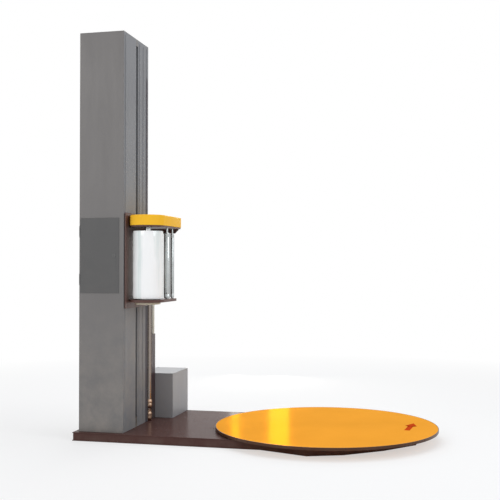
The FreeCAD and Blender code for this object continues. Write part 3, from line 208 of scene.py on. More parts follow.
def paint_skin_effect():
    """Painted sheet: slow drifts of tone, fine orange peel, soft wiping marks, and a paler tone low down
    that is dust, and on the mast's front also painted light.
    """
    group, start, end = effect(
        "paint skin",
        [("Colour", "Color", (0.5, 0.5, 0.5, 1)), ("Dust Colour", "Color", (0.45, 0.40, 0.34, 1)),
         ("Dust", "Float", 0.3), ("Dust Height", "Float", 0.5), ("Gloss Roughness", "Float", 0.3),
         ("Drift", "Float", 0.08)],
        [("Colour", "Color"), ("Roughness", "Float"), ("Height", "Float")])
    place = node(group, "TexCoord").outputs["Object"]
    slow = node(group, "TexNoise", {"Vector": place, "Scale": 1.7, "Detail": 5.0, "Roughness": 0.55})
    drift = node(group, "MapRange", {"Value": slow.outputs[0], "From Min": 0.3, "From Max": 0.7,
                                     "To Min": -1.0, "To Max": 1.0})
    shift = node(group, "Math", {0: drift.outputs[0], 1: start.outputs["Drift"]}, operation="MULTIPLY")
    level = node(group, "Math", {0: shift.outputs[0], 1: 1.0}, operation="ADD")
    toned = node(group, "VectorMath", {0: start.outputs["Colour"], "Scale": level.outputs[0]},
                 operation="SCALE")
    height = node(group, "SeparateXYZ", {0: place}).outputs["Z"]
    low = node(group, "Math", {0: height, 1: start.outputs["Dust Height"]}, operation="DIVIDE")
    settle = node(group, "MapRange", {"Value": low.outputs[0], "From Min": 0.0, "From Max": 1.0,
                                      "To Min": 1.0, "To Max": 0.0})
    patches = node(group, "TexNoise", {"Vector": place, "Scale": 9.0, "Detail": 6.0, "Roughness": 0.65})
    patchy = node(group, "MapRange", {"Value": patches.outputs[0], "From Min": 0.35, "From Max": 0.7})
    dust_and_light_patches = node(group, "Math", {0: settle.outputs[0], 1: patchy.outputs[0]}, operation="MULTIPLY")
    dust_and_low_light = node(group, "Math", {0: dust_and_light_patches.outputs[0], 1: start.outputs["Dust"]}, operation="MULTIPLY",
                use_clamp=True)
    mixed = node(group, "Mix", {0: dust_and_low_light.outputs[0], 6: toned.outputs[0], 7: start.outputs["Dust Colour"]},
                 data_type="RGBA")
    long_way = node(group, "Mapping", {"Vector": place, "Scale": (14.0, 14.0, 1.6)})
    wipes = node(group, "TexNoise", {"Vector": long_way.outputs[0], "Scale": 1.0, "Detail": 7.0,
                                     "Roughness": 0.7})
    wiped = node(group, "MapRange", {"Value": wipes.outputs[0], "From Min": 0.3, "From Max": 0.75,
                                     "To Min": -0.05, "To Max": 0.11})
    rough = node(group, "Math", {0: start.outputs["Gloss Roughness"], 1: wiped.outputs[0]}, operation="ADD")
    rougher = node(group, "Math", {0: dust_and_low_light.outputs[0], 1: 0.35, 2: rough.outputs[0]},
                   operation="MULTIPLY_ADD", use_clamp=True)
    peel = node(group, "TexNoise", {"Vector": place, "Scale": 210.0, "Detail": 2.0})
    fill_outputs(group, end, {"Colour": mixed.outputs[2], "Roughness": rougher.outputs[0],
                              "Height": peel.outputs[0]})
    return group


def edge_wear_effect():
    """Mask of worn edges: where a rounded normal leaves the true one, broken up by noise."""
    group, start, end = effect("edge wear", [("Radius", "Float", 0.004), ("Amount", "Float", 0.6)],
                               [("Mask", "Float")])
    rounded = node(group, "Bevel", {"Radius": start.outputs["Radius"]}, samples=4)
    true_way = node(group, "NewGeometry")
    match = node(group, "VectorMath", {0: rounded.outputs[0], 1: true_way.outputs["Normal"]},
                 operation="DOT_PRODUCT")
    edge = node(group, "MapRange", {"Value": match.outputs["Value"], "From Min": 0.97, "From Max": 0.80})
    place = node(group, "TexCoord").outputs["Object"]
    chips = node(group, "TexNoise", {"Vector": place, "Scale": 38.0, "Detail": 6.0, "Roughness": 0.7})
    broken = node(group, "MapRange", {"Value": chips.outputs[0], "From Min": 0.52, "From Max": 0.66})
    worn = node(group, "Math", {0: edge.outputs[0], 1: broken.outputs[0]}, operation="MULTIPLY")
    mask = node(group, "Math", {0: worn.outputs[0], 1: start.outputs["Amount"]}, operation="MULTIPLY",
                use_clamp=True)
    fill_outputs(group, end, {"Mask": mask.outputs[0]})
    return group


PAINT_SKIN = paint_skin_effect()
EDGE_WEAR = edge_wear_effect()


def srgb(hex_code):
    """A colour written as on a paint card, turned into the linear values that shaders use."""
    parts = [int(hex_code[i:i + 2], 16) / 255.0 for i in (0, 2, 4)]
    linear = [c / 12.92 if c <= 0.04045 else ((c + 0.055) / 1.055) ** 2.4 for c in parts]
    return (*linear, 1.0)


def surfaced(name, group, inputs, depth, strength):
    """A material whose colour, roughness and fine relief come from one node group. Gives back the
    material, its shader and the group's node."""
    made = bpy.data.materials.new(name)
    made.use_nodes = True
    links = made.node_tree.links
    shader = made.node_tree.nodes["Principled BSDF"]
    face = node(made.node_tree, "Group", inputs, node_tree=group)
    bump = node(made.node_tree, "Bump", {"Height": face.outputs["Height"], "Distance": depth,
                                         "Strength": strength})
    links.new(face.outputs["Colour"], shader.inputs["Base Color"])
    links.new(face.outputs["Roughness"], shader.inputs["Roughness"])
    links.new(bump.outputs[0], shader.inputs["Normal"])
    return made, shader, face


WEAR_RADIUS = 0.003


def painted_sheet(name, colour, roughness, dust_and_low_light=0.3, dust_and_low_light_height=0.5, drift=0.08, wear=0.5,
                  bare="8a8782", peel=0.00012, specular=0.22):
    """Stove-enamelled steel: the paint, its worn edges and its orange-peel surface."""
    made, shader, face = surfaced(
        name, PAINT_SKIN, {"Colour": srgb(colour), "Dust": dust_and_low_light, "Dust Height": dust_and_low_light_height,
                           "Gloss Roughness": roughness, "Drift": drift}, peel, 0.6)
    paint = made.node_tree
    edge = node(paint, "Group", {"Radius": WEAR_RADIUS, "Amount": wear}, node_tree=EDGE_WEAR)
    colours = node(paint, "Mix", {0: edge.outputs["Mask"], 6: face.outputs["Colour"], 7: srgb(bare)},
                   data_type="RGBA")
    paint.links.new(colours.outputs[2], shader.inputs["Base Color"])
    shader.inputs["Coat Roughness"].default_value = 0.06
    shader.inputs["Specular IOR Level"].default_value = specular
    return made


def skin(rings, wrap=False):
    """Closed surface over a stack of closed rings: quads join each ring to the next one.
    With wrap the last ring joins the first; without it a fan to its middle closes each end."""
    rows, count, _ = rings.shape
    index = np.arange(rows * count).reshape(rows, count)
    below = index if wrap else index[:-1]
    above = np.roll(index, -1, axis=0) if wrap else index[1:]
    quads = np.stack([below, np.roll(below, -1, 1), np.roll(above, -1, 1), above], -1).reshape(-1, 4)
    points = rings.reshape(-1, 3)
    if wrap:
        return points, quads, np.zeros((0, 3), int)
    ends = np.stack([rings[0].mean(0), rings[-1].mean(0)])
    first = np.stack([np.roll(index[0], -1), index[0], np.full(count, rows * count)], -1)
    last = np.stack([index[-1], np.roll(index[-1], -1), np.full(count, rows * count + 1)], -1)
    return np.concatenate([points, ends]), quads, np.concatenate([first, last])


def outward(shell):
    """The shell with its faces turned out: its signed volume, the sum of a.(b x c), is positive."""
    points, quads, tris = shell
    fans = np.concatenate([quads[:, [0, 1, 2]], quads[:, [0, 2, 3]], tris])
    a, b, c = (points[fans[:, i]] for i in range(3))
    if np.einsum("ij,ij->", a, np.cross(b, c)) < 0:
        return points, quads[:, ::-1], tris[:, ::-1]
    return shell


def place_piece(made, body, stands_for):
    """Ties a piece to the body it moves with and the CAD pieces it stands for."""
    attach(made, body)
    if stands_for:
        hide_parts(*stands_for)


def piece(name, shells, material, body, stands_for=(), sharp=35.0):
    """One mesh object from several closed shells, smooth up to the given angle between faces."""
    points = []
    faces = []
    count = 0
    for shell in map(outward, shells):
        points.append(shell[0])
        faces += (shell[1] + count).tolist() + (shell[2] + count).tolist()
        count += len(shell[0])
    mesh = bpy.data.meshes.new(name)
    mesh.from_pydata(np.concatenate(points).tolist(), [], faces)
    mesh.shade_smooth()
    mesh.set_sharp_from_angle(angle=math.radians(sharp))
    mesh.materials.append(material)
    made = bpy.data.objects.new(name, mesh)
    scene.collection.objects.link(made)
    place_piece(made, body, stands_for)
    return made


def inset_path(points, distance):
    """A closed outline that runs clockwise, moved inwards: each corner is where its two sides,
    both moved by the distance along their inward normals, cross."""
    ahead = np.roll(points, -1, 0) - points
    ahead /= np.linalg.norm(ahead, axis=1, keepdims=True)
    inward = np.stack([ahead[:, 1], -ahead[:, 0]], -1)
    behind = np.roll(inward, 1, 0)
    corner = (inward + behind) / (1.0 + np.sum(inward * behind, axis=1, keepdims=True))
    return points + corner * distance


def at_height(outline, z):
    """A plan outline lifted to a height."""
    return np.column_stack([outline, np.full(len(outline), z)])


def rounded_slab(outline, low, high, edge, steps=3):
    """Slab over an outline(inset): its upper and lower edges are quarter circles, where the
    inset is edge x (1 - sin) and the height edge x (1 - cos) of the same angle. One more ring,
    twice as far in, keeps the rounding's shading off the flat faces."""
    turn = np.linspace(0.0, math.pi / 2, steps + 1)
    insets = edge * (1.0 - np.sin(turn))
    rises = edge * (1.0 - np.cos(turn))
    bottom = [at_height(outline(inset), low + rise) for inset, rise in zip(insets, rises)]
    top = [at_height(outline(inset), high - rise) for inset, rise in zip(insets[::-1], rises[::-1])]
    bottom.insert(0, at_height(outline(edge * 2), low))
    top.append(at_height(outline(edge * 2), high))
    return skin(np.array(bottom + top))


base_low, base_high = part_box("base_plate")
deck_low, deck_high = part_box("base_deck")
BASE_SHEET = base_high.z - base_low.z
SHEET_EDGE = 0.0015
HALF_WIDTH = 0.567
WELL_START = -0.560
LEDGE = 0.040
DECK_EDGE = 0.002
FLAT_SHARP = 12.0
# Corners of the +Y side from the neck, where the outline widens, to the far end.
SHOULDER = np.array([(-0.375, 0.567), (-0.030, 0.692), (0.210, 0.600), (0.460, 0.400), (0.670, 0.150)])


def mirrored(half):
    """Closed outline, clockwise from above, from its +Y half."""
    return np.concatenate([half, half[::-1] * (1, -1)])


def with_start(x):
    """The keyhole's outline, cut square across at x."""
    return mirrored(np.concatenate([[(x, HALF_WIDTH)], SHOULDER]))


keyhole = with_start(base_low.x)
base_paint = painted_sheet("base enamel", "573f3b", 0.20, dust_and_low_light=0.10, dust_and_low_light_height=0.08, drift=0.10,
                           wear=0.35, bare="6b5a50", specular=0.015)
floor_sheet = rounded_slab(lambda inset: inset_path(keyhole, inset), base_low.z, base_high.z, SHEET_EDGE)
piece("base_floor_sheet", [floor_sheet], base_paint, "machine", ["base_plate"])

# The wall is one folded strip; its section is a plain rectangle carried round the outline.
wall_low, wall_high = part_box("base_skirt")
wall_inset = base_high.x - wall_high.x
wall_section = [(wall_inset, wall_low.z), (wall_inset, wall_high.z),
                (wall_inset + BASE_SHEET, wall_high.z), (wall_inset + BASE_SHEET, wall_low.z)]
wall = np.stack([at_height(inset_path(keyhole, inset), z) for inset, z in wall_section])
piece("base_side_wall", [skin(wall, wrap=True)], base_paint, "machine", ["base_skirt"], sharp=FLAT_SHARP)

# The deck's outer edge is rolled over; the ledge is mitred at each corner.
main_deck = np.array([(deck_low.x, HALF_WIDTH), (WELL_START, HALF_WIDTH),
                      (WELL_START, -HALF_WIDTH), (deck_low.x, -HALF_WIDTH)])
well = with_start(WELL_START)
inner_well = inset_path(well, LEDGE)
inner_well[0] = (WELL_START, HALF_WIDTH - LEDGE)
inner_well[-1] = (WELL_START, LEDGE - HALF_WIDTH)
ledge_rings = np.stack([
    at_height(well, deck_low.z), at_height(well, deck_high.z - DECK_EDGE),
    at_height(well + (inner_well - well) * DECK_EDGE / LEDGE, deck_high.z),
    at_height(inner_well, deck_high.z), at_height(inner_well, deck_low.z)], axis=1)
deck = [rounded_slab(lambda inset: inset_path(main_deck, inset), deck_low.z, deck_high.z, DECK_EDGE),
        skin(ledge_rings)]
piece("base_deck_sheet", deck, base_paint, "machine", ["base_deck"], sharp=FLAT_SHARP)

# ======================================================================================
# Turntable: plate, edge band and direction mark
# A 6 mm steel plate with a rolled band welded round it. The top is painted a glossy
# orange-yellow; the band is dark brown. A red arrow shows the way it turns.
# ======================================================================================


def turntable_material():
    """Orange enamel, polished round and round by pallets dragged over it."""
    made = painted_sheet("turntable enamel", "f3ae43", 0.17, dust_and_low_light=0.0, drift=0.05, wear=0.3,
                         bare="8a5a2a", specular=0.0)
    paint = made.node_tree
    shader = paint.nodes["Principled BSDF"]
    shader.inputs["Metallic"].default_value = 0.30
    shader.inputs["Specular Tint"].default_value = srgb("fbb43a")
    place = node(paint, "TexCoord").outputs["Object"]
    flat = node(paint, "VectorMath", {0: place, 1: (1.0, 1.0, 0.0)}, operation="MULTIPLY")
    radius = node(paint, "VectorMath", {0: flat.outputs[0]}, operation="LENGTH")
    turned = node(paint, "CombineXYZ", {"X": radius.outputs["Value"]})
    rings = node(paint, "TexNoise", {"Vector": turned.outputs[0], "Scale": 60.0, "Detail": 6.0})
    arcs = node(paint, "TexNoise", {"Vector": place, "Scale": 4.0, "Detail": 3.0})
    both = node(paint, "Math", {0: rings.outputs[0], 1: arcs.outputs[0]}, operation="MULTIPLY")
    scuffed = node(paint, "MapRange", {"Value": both.outputs[0], "From Min": 0.2, "From Max": 0.42,
                                       "To Min": 0.13, "To Max": 0.27})
    paint.links.new(scuffed.outputs[0], shader.inputs["Roughness"])
    return made


def circle(radius, count):
    """Points of a circle about the origin, clockwise from above."""
    angle = -np.linspace(0.0, 2 * math.pi, count, endpoint=False)
    return np.stack([radius * np.cos(angle), radius * np.sin(angle)], -1)


plate_low, plate_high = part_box("turntable_plate")
rim_low, rim_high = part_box("turntable_rim")
TABLE_SIDES = 256
TABLE_EDGE = 0.0012
WELD_GAP = 0.0002
table_paint = turntable_material()
table_slab = rounded_slab(lambda inset: circle(plate_high.y - inset, TABLE_SIDES), plate_low.z,
                          plate_high.z, TABLE_EDGE)
piece("turntable_top", [table_slab], table_paint, "turntable", ["turntable_plate"])
rim_paint = painted_sheet("edge band enamel", "4a2c1a", 0.28, dust_and_low_light=0.05, wear=0.5, bare="9a8f86")
band_section = [(rim_high.y, rim_low.z), (rim_high.y, rim_high.z - TABLE_EDGE),
                (rim_high.y - TABLE_EDGE, rim_high.z), (plate_high.y + WELD_GAP, rim_high.z),
                (plate_high.y + WELD_GAP, rim_low.z)]
band = np.stack([at_height(circle(radius, TABLE_SIDES), z) for radius, z in band_section])
piece("turntable_band", [skin(band, wrap=True)], rim_paint, "turntable", ["turntable_rim"])

ARROW_TAIL = np.array([0.600, -0.080])
ARROW_TIP = np.array([0.634, 0.215])
ARROW_HALF = 0.020
BARB_HALF = 0.044
NECK = 0.60
ARROW_SUNK = 0.0002
ARROW_PROUD = 0.0003
ARROW_EDGE = 0.0001
arrow_red = painted_sheet("arrow red", "c8481c", 0.45, dust_and_low_light=0.0, wear=0.0, specular=0.0)


def arrow_outline(inset):
    """Arrow along the turntable's edge: a straight shaft up to the neck, then two barbs and a tip."""
    along = (ARROW_TIP - ARROW_TAIL) / np.linalg.norm(ARROW_TIP - ARROW_TAIL)
    left = np.array([-along[1], along[0]])
    neck = ARROW_TAIL + (ARROW_TIP - ARROW_TAIL) * NECK
    half = ARROW_HALF - inset
    barb = BARB_HALF - inset
    return np.stack([ARROW_TAIL + along * inset + left * half, neck + left * half, neck + left * barb,
                     ARROW_TIP - along * inset, neck - left * barb, neck - left * half,
                     ARROW_TAIL + along * inset - left * half])


arrow = rounded_slab(arrow_outline, plate_high.z - ARROW_SUNK, plate_high.z + ARROW_PROUD, ARROW_EDGE, 1)
piece("turntable_arrow", [arrow], arrow_red, "turntable")

# ======================================================================================
# Turntable's running gear: pivot, hub, chain wheels, wheels and brackets
# Machined steel and zinc-plated forks inside the base. The load runs on four rollers
# with hard polyurethane tread; a roller chain from the gearmotor turns the hub.
# ======================================================================================


def machined_effect():
    """Turned or ground steel: fine lines along one direction, darker oily patches."""
    group, start, end = effect(
        "machined metal",
        [("Colour", "Color", (0.6, 0.6, 0.6, 1)), ("Oil", "Float", 0.3),
         ("Line Scale", "Vector", (8, 8, 400)), ("Gloss Roughness", "Float", 0.3)],
        [("Colour", "Color"), ("Roughness", "Float"), ("Height", "Float")])
    place = node(group, "TexCoord").outputs["Object"]
    stretched = node(group, "VectorMath", {0: place, 1: start.outputs["Line Scale"]}, operation="MULTIPLY")
    lines = node(group, "TexNoise", {"Vector": stretched.outputs[0], "Scale": 1.0, "Detail": 4.0})
    patches = node(group, "TexNoise", {"Vector": place, "Scale": 14.0, "Detail": 5.0, "Roughness": 0.6})
    oily = node(group, "MapRange", {"Value": patches.outputs[0], "From Min": 0.45, "From Max": 0.7})
    oil = node(group, "Math", {0: oily.outputs[0], 1: start.outputs["Oil"]}, operation="MULTIPLY")
    mixed = node(group, "Mix", {0: oil.outputs[0], 6: start.outputs["Colour"], 7: (0.05, 0.04, 0.03, 1)},
                 data_type="RGBA")
    spread = node(group, "MapRange", {"Value": lines.outputs[0], "From Min": 0.3, "From Max": 0.7,
                                      "To Min": -0.06, "To Max": 0.10})
    rough = node(group, "Math", {0: start.outputs["Gloss Roughness"], 1: spread.outputs[0]},
                 operation="ADD", use_clamp=True)
    fill_outputs(group, end, {"Colour": mixed.outputs[2], "Roughness": rough.outputs[0],
                              "Height": lines.outputs[0]})
    return group


MACHINED = machined_effect()


def machined_metal(name, colour, roughness, oil=0.3, lines=(8.0, 8.0, 400.0), depth=0.00004):
    """Bare or plated metal with its turning or brushing lines."""
    made, shader, _ = surfaced(name, MACHINED, {"Colour": srgb(colour), "Oil": oil, "Line Scale": lines,
                                                "Gloss Roughness": roughness}, depth, 0.5)
    shader.inputs["Metallic"].default_value = 1.0
    return made


def finish_node(name, material):
    """A CAD piece whose shape is right as it is gets its finish."""
    slots = frame["nodes"][name].data.materials
    if not slots:
        slots.append(material)
    for i in range(len(slots)):
        slots[i] = material


def softened(name, material, width, new_name, angle=50.0, segments=2):
    """A copy of a CAD piece with its loose triangles merged and its sharp edges broken."""
    source = frame["nodes"][name]
    mesh = source.data.copy()
    mesh.name = new_name
    faces = bmesh.new()
    faces.from_mesh(mesh)
    bmesh.ops.remove_doubles(faces, verts=faces.verts, dist=0.00001)
    faces.to_mesh(mesh)
    faces.free()
    mesh.shade_smooth()
    mesh.set_sharp_from_angle(angle=math.radians(35.0))
    mesh.materials.clear()
    mesh.materials.append(material)
    made = bpy.data.objects.new(new_name, mesh)
    scene.collection.objects.link(made)
    bevel = made.modifiers.new("broken edges", "BEVEL")
    bevel.width = width
    bevel.segments = segments
    bevel.limit_method = "ANGLE"
    bevel.angle_limit = math.radians(angle)
    bevel.use_clamp_overlap = False
    flat = made.modifiers.new("flat faces", "WEIGHTED_NORMAL")
    flat.mode = "FACE_AREA"
    flat.keep_sharp = True
    place_piece(made, frame["nodes"][name]["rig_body"], [name])
    return made


def axes_about(axis):
    """Two unit vectors square to an axis, and the axis, as the rows of a matrix."""
    along = np.array(axis, float) / np.linalg.norm(axis)
    other = np.array((0.0, 0.0, 1.0)) if abs(along[2]) < 0.9 else np.array((1.0, 0.0, 0.0))
    side = np.cross(other, along)
    side /= np.linalg.norm(side)
    return np.stack([side, np.cross(along, side), along])


def lathe(profile, centre, axis=(0, 0, 1), sides=48, wrap=False):
    """Turned shape: each (radius, distance along the axis) of the profile swept round it."""
    radius, along = np.array(profile, float).T
    angle = np.linspace(0.0, 2 * math.pi, sides, endpoint=False)
    ring = np.stack([np.outer(radius, np.cos(angle)), np.outer(radius, np.sin(angle)),
                     np.repeat(along[:, None], sides, 1)], -1)
    return skin(ring @ axes_about(axis) + np.array(centre), wrap)


ground_steel = machined_metal("ground steel", "a9a8a4", 0.30, oil=0.5)
zinc_plate = machined_metal("zinc plate", "b9bbb8", 0.34, oil=0.12, lines=(30.0, 30.0, 30.0))
for name in ("pivot_post", "pivot_bearing", "turntable_hub", "turntable_sprocket",
             "turntable_drive_sprocket"):
    finish_node(name, ground_steel)
finish_node("wheel_brackets", zinc_plate)


def moulded_effect():
    """Moulded plastic or rubber: fine grain, faint dust and scuffs."""
    group, start, end = effect(
        "moulded plastic",
        [("Colour", "Color", (0.2, 0.2, 0.2, 1)), ("Scuff Colour", "Color", (0.4, 0.4, 0.38, 1)),
         ("Scuffs", "Float", 0.25), ("Grain Scale", "Float", 900.0), ("Gloss Roughness", "Float", 0.4)],
        [("Colour", "Color"), ("Roughness", "Float"), ("Height", "Float")])
    place = node(group, "TexCoord").outputs["Object"]
    grain = node(group, "TexNoise", {"Vector": place, "Scale": start.outputs["Grain Scale"], "Detail": 2.0})
    marks = node(group, "TexNoise", {"Vector": place, "Scale": 26.0, "Detail": 8.0, "Roughness": 0.75})
    scuffed = node(group, "MapRange", {"Value": marks.outputs[0], "From Min": 0.52, "From Max": 0.72})
    scuff = node(group, "Math", {0: scuffed.outputs[0], 1: start.outputs["Scuffs"]}, operation="MULTIPLY")
    mixed = node(group, "Mix", {0: scuff.outputs[0], 6: start.outputs["Colour"],
                                7: start.outputs["Scuff Colour"]}, data_type="RGBA")
    rough = node(group, "Math", {0: scuff.outputs[0], 1: 0.4, 2: start.outputs["Gloss Roughness"]},
                 operation="MULTIPLY_ADD", use_clamp=True)
    fill_outputs(group, end, {"Colour": mixed.outputs[2], "Roughness": rough.outputs[0],
                              "Height": grain.outputs[0]})
    return group


MOULDED = moulded_effect()


def moulded(name, colour, roughness, scuffs=0.2, grain=900.0, depth=0.00005):
    """Plastic, rubber or board with its grain and scuffs."""
    made, _, _ = surfaced(name, MOULDED, {"Colour": srgb(colour), "Scuffs": scuffs, "Grain Scale": grain,
                                          "Gloss Roughness": roughness}, depth, 0.5)
    return made


def middle(node_name):
    """The middle of a CAD piece's box."""
    low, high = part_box(node_name)
    return (np.array(low) + np.array(high)) / 2


def both_ways(section):
    """A turned section given from its outer end at -x to its middle, followed by its mirror."""
    return section + [(radius, -along) for radius, along in section[::-1]]


# Each wheel has a crowned tread on a steel centre with a recessed bearing.
WHEEL_BORE = 0.00605
WHEEL_HALF = 0.012
HUB_R = 0.010
TREAD_INNER = 0.021
CROWN = 0.0004
tread = moulded("polyurethane tread", "5a3a1c", 0.45, scuffs=0.5, grain=300.0)
for number in range(1, 5):
    node_name = f"support_wheel_{number}"
    axis = joints[node_name + "_spin"]["axis"]
    low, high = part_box(node_name)
    wheel_r = (high.z - low.z) / 2
    tread_section = [(TREAD_INNER, -WHEEL_HALF), (wheel_r - 0.002, -WHEEL_HALF),
                     (wheel_r - CROWN, -WHEEL_HALF + 0.003), (wheel_r, 0.0),
                     (wheel_r - CROWN, WHEEL_HALF - 0.003), (wheel_r - 0.002, WHEEL_HALF),
                     (TREAD_INNER, WHEEL_HALF)]
    centre_section = both_ways([
        (WHEEL_BORE, -WHEEL_HALF), (HUB_R, -WHEEL_HALF), (HUB_R + 0.0005, -WHEEL_HALF + 0.002),
        (TREAD_INNER - 0.0025, -WHEEL_HALF + 0.002), (TREAD_INNER - 0.002, -WHEEL_HALF),
        (TREAD_INNER, -WHEEL_HALF)])
    centre = middle(node_name)
    piece(node_name + "_tread", [lathe(tread_section, centre, axis, 64, wrap=True)], tread,
          f"wheel_{number}", [node_name])
    piece(node_name + "_centre", [lathe(centre_section, centre, axis, 48, wrap=True)], ground_steel,
          f"wheel_{number}")


def capsule_ring(half_pitch, radius, count):
    """Outline of a link plate: two half circles about its two pins."""
    bend = np.linspace(-math.pi / 2, math.pi / 2, count)
    right = np.stack([half_pitch + radius * np.cos(bend), radius * np.sin(bend)], -1)
    return np.concatenate([right, -right])


def slab_between(outline, low, high):
    """Square-edged slab over an outline."""
    return skin(np.stack([at_height(outline, low), at_height(outline, high)]))


def roller_chain_link(pitch, width, height):
    """One pitch of roller chain lying flat: a roller, and a pair of link plates."""
    link_r = height * 0.42
    shells = [slab_between(circle(link_r, 10), -width * 0.26, width * 0.26)]
    for low, high in ((-width / 2, -width * 0.36), (width * 0.36, width / 2)):
        points, quads, tris = slab_between(capsule_ring(pitch / 2, link_r, 5), low, high)
        shells.append((points + (pitch / 2, 0, 0), quads, tris))
    return shells


def along_loop(start, start_r, end, end_r, count):
    """Points and headings, evenly spaced along a band drawn round two circles."""
    start = np.array(start, float)
    end = np.array(end, float)
    span = np.linalg.norm(end - start)
    line = math.atan2(*(end - start)[::-1])
    lean = math.acos((start_r - end_r) / span)
    run = math.sqrt(span ** 2 - (start_r - end_r) ** 2)
    lengths = np.array([run, 2 * lean * end_r, run, 2 * (math.pi - lean) * start_r])
    marks = np.concatenate([[0.0], np.cumsum(lengths)])
    s = np.linspace(0.0, marks[-1], count, endpoint=False)
    leg = np.searchsorted(marks, s, side="right") - 1
    t = s - marks[leg]
    heading = np.select([leg == 0, leg == 1, leg == 2], [
        line + lean - math.pi / 2 + 0 * t, line + lean - math.pi / 2 - t / end_r,
        line - lean - math.pi / 2 + 0 * t], line - lean - math.pi / 2 - t / start_r)
    normal = np.stack([np.cos(heading + math.pi / 2), np.sin(heading + math.pi / 2)], -1)
    ahead = np.stack([np.cos(heading), np.sin(heading)], -1)
    left = np.array([math.cos(line + lean), math.sin(line + lean)])
    right = np.array([math.cos(line - lean), math.sin(line - lean)])
    place = np.select([(leg == 0)[:, None], (leg == 1)[:, None], (leg == 2)[:, None]], [
        start + left * start_r + ahead * t[:, None], end + normal * end_r,
        end + right * end_r + ahead * t[:, None]], start + normal * start_r)
    return place, heading


def chain_shells(link, places, headings):
    """Copies of one link along a loop, joined into as many shells as the link has."""
    shells = []
    for points, quads, tris in link:
        points, quads, tris = outward((points, quads, tris))
        count = len(places)
        turn = np.stack([np.stack([np.cos(headings), -np.sin(headings)], -1),
                         np.stack([np.sin(headings), np.cos(headings)], -1)], 1)
        flat = np.einsum("nij,pj->npi", turn, points[:, :2]) + places[:, None]
        upright = np.broadcast_to(points[None, :, 2:], (count, len(points), 1))
        all_points = np.concatenate([flat, upright], -1).reshape(-1, 3)
        step = (np.arange(count) * len(points))[:, None, None]
        shells.append((all_points, (quads + step).reshape(-1, 4), (tris + step).reshape(-1, 3)))
    return shells


chain_steel = machined_metal("oiled chain steel", "57534d", 0.38, oil=0.8, lines=(60.0, 60.0, 60.0))
chain_low, chain_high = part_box("turntable_chain")
drive_at = np.array(joints["turntable_drive_spin"]["pos_m"])
CHAIN_BACK = 0.007
CHAIN_PITCH = 0.0254
CHAIN_LINKS = 154
drive_loop_r = drive_at[0] - chain_low.x - CHAIN_BACK
table_loop_r = chain_high.x - CHAIN_BACK
places, headings = along_loop(drive_at[:2], drive_loop_r, (0.0, 0.0), table_loop_r, CHAIN_LINKS)
links = chain_shells(roller_chain_link(CHAIN_PITCH, 0.0135, 0.0125), places, headings)
chain_mid = middle("turntable_chain")[2]
links = [(points + (0, 0, chain_mid), quads, tris) for points, quads, tris in links]
piece("turntable_roller_chain", links, chain_steel, "machine", ["turntable_chain"])

# ======================================================================================
# Turntable gearmotor with its box
# A cast worm gearbox and a finned motor stand on the deck under a folded sheet box. The
# box and its lid are painted light grey; pan-head screws hold the lid.
# ======================================================================================


def block(low, high, edge=0.001, steps=2):
    """Rectangular block whose long edges are rounded: a rounded slab over a rounded rectangle."""
    low = np.array(low, float)
    high = np.array(high, float)

    def outline(inset):
        round_r = max(edge - inset, 0.0) + 0.00005
        bend = np.linspace(0.0, math.pi / 2, steps + 1)
        corners = []
        for quarter, (sx, sy) in enumerate(((1, 1), (1, -1), (-1, -1), (-1, 1))):
            turn = math.pi / 2 - bend - quarter * math.pi / 2
            x = (high[0] if sx > 0 else low[0]) - sx * (inset + round_r) + round_r * np.cos(turn)
            y = (high[1] if sy > 0 else low[1]) - sy * (inset + round_r) + round_r * np.sin(turn)
            corners.append(np.stack([x, y], -1))
        return np.concatenate(corners)

    return rounded_slab(outline, low[2], high[2], edge, steps)


def annulus(centre, axis, inner, outer, low, high, edge=0.0005, sides=48):
    """Ring with its corners broken, as a turned shape round an axis."""
    profile = [(inner, low), (outer - edge, low), (outer, low + edge), (outer, high - edge),
               (outer - edge, high), (inner, high)]
    return lathe(profile, centre, axis, sides, wrap=True)


def disc(centre, axis, radius, low, high, edge=0.0005, sides=32):
    """Short cylinder with its edges broken."""
    profile = [(radius - edge, low), (radius, low + edge), (radius, high - edge), (radius - edge, high)]
    return lathe(profile, centre, axis, sides)


def finned_motor(centre, radius, low, high, fins):
    """Upright motor body: its outline steps in and out as square fins between round end shields."""
    up = (0, 0, 1)
    angle = np.linspace(0.0, 2 * math.pi, fins * 4, endpoint=False)
    wave = np.tile([radius, radius, radius * 0.88, radius * 0.88], fins)
    ring = np.stack([wave * np.cos(angle), wave * np.sin(angle)], -1)
    span = (high - low) * 0.12
    points, quads, tris = slab_between(ring, low + span, high - span)
    return [(points @ axes_about(up) + np.array(centre), quads, tris),
            disc(centre, up, radius * 0.97, low, low + span, 0.003),
            disc(centre, up, radius * 0.97, high - span, high, 0.003)]


machine_iron = painted_sheet("gearbox paint", "4d5860", 0.42, dust_and_low_light=0.5, dust_and_low_light_height=0.6, wear=0.7)
gear_low, gear_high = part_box("turntable_gearmotor")
GEARBOX_HALF = 0.065
GEARBOX_HIGH = 0.100
MOTOR_R = 0.062
MOTOR_HIGH = 0.190
COWL_R = 0.066
motor_at = np.array([drive_at[0], drive_at[1], 0.0])
gearbox_top = gear_low.z + GEARBOX_HIGH
motor_top = gearbox_top + MOTOR_HIGH
gearbox = block(motor_at + (-GEARBOX_HALF, -GEARBOX_HALF, gear_low.z),
                motor_at + (GEARBOX_HALF, GEARBOX_HALF, gearbox_top), 0.012, 4)
fan_cowl = disc(motor_at, (0, 0, 1), COWL_R, motor_top, gear_high.z, 0.006, 48)
terminal_box = block(motor_at + (0.030, -0.035, gearbox_top + 0.05),
                     motor_at + (0.092, 0.035, gearbox_top + 0.14), 0.006, 3)
shells = [gearbox, *finned_motor(motor_at, MOTOR_R, gearbox_top, motor_top, 28), fan_cowl, terminal_box]
piece("turntable_gearbox_and_motor", shells, machine_iron, "machine", ["turntable_gearmotor"])

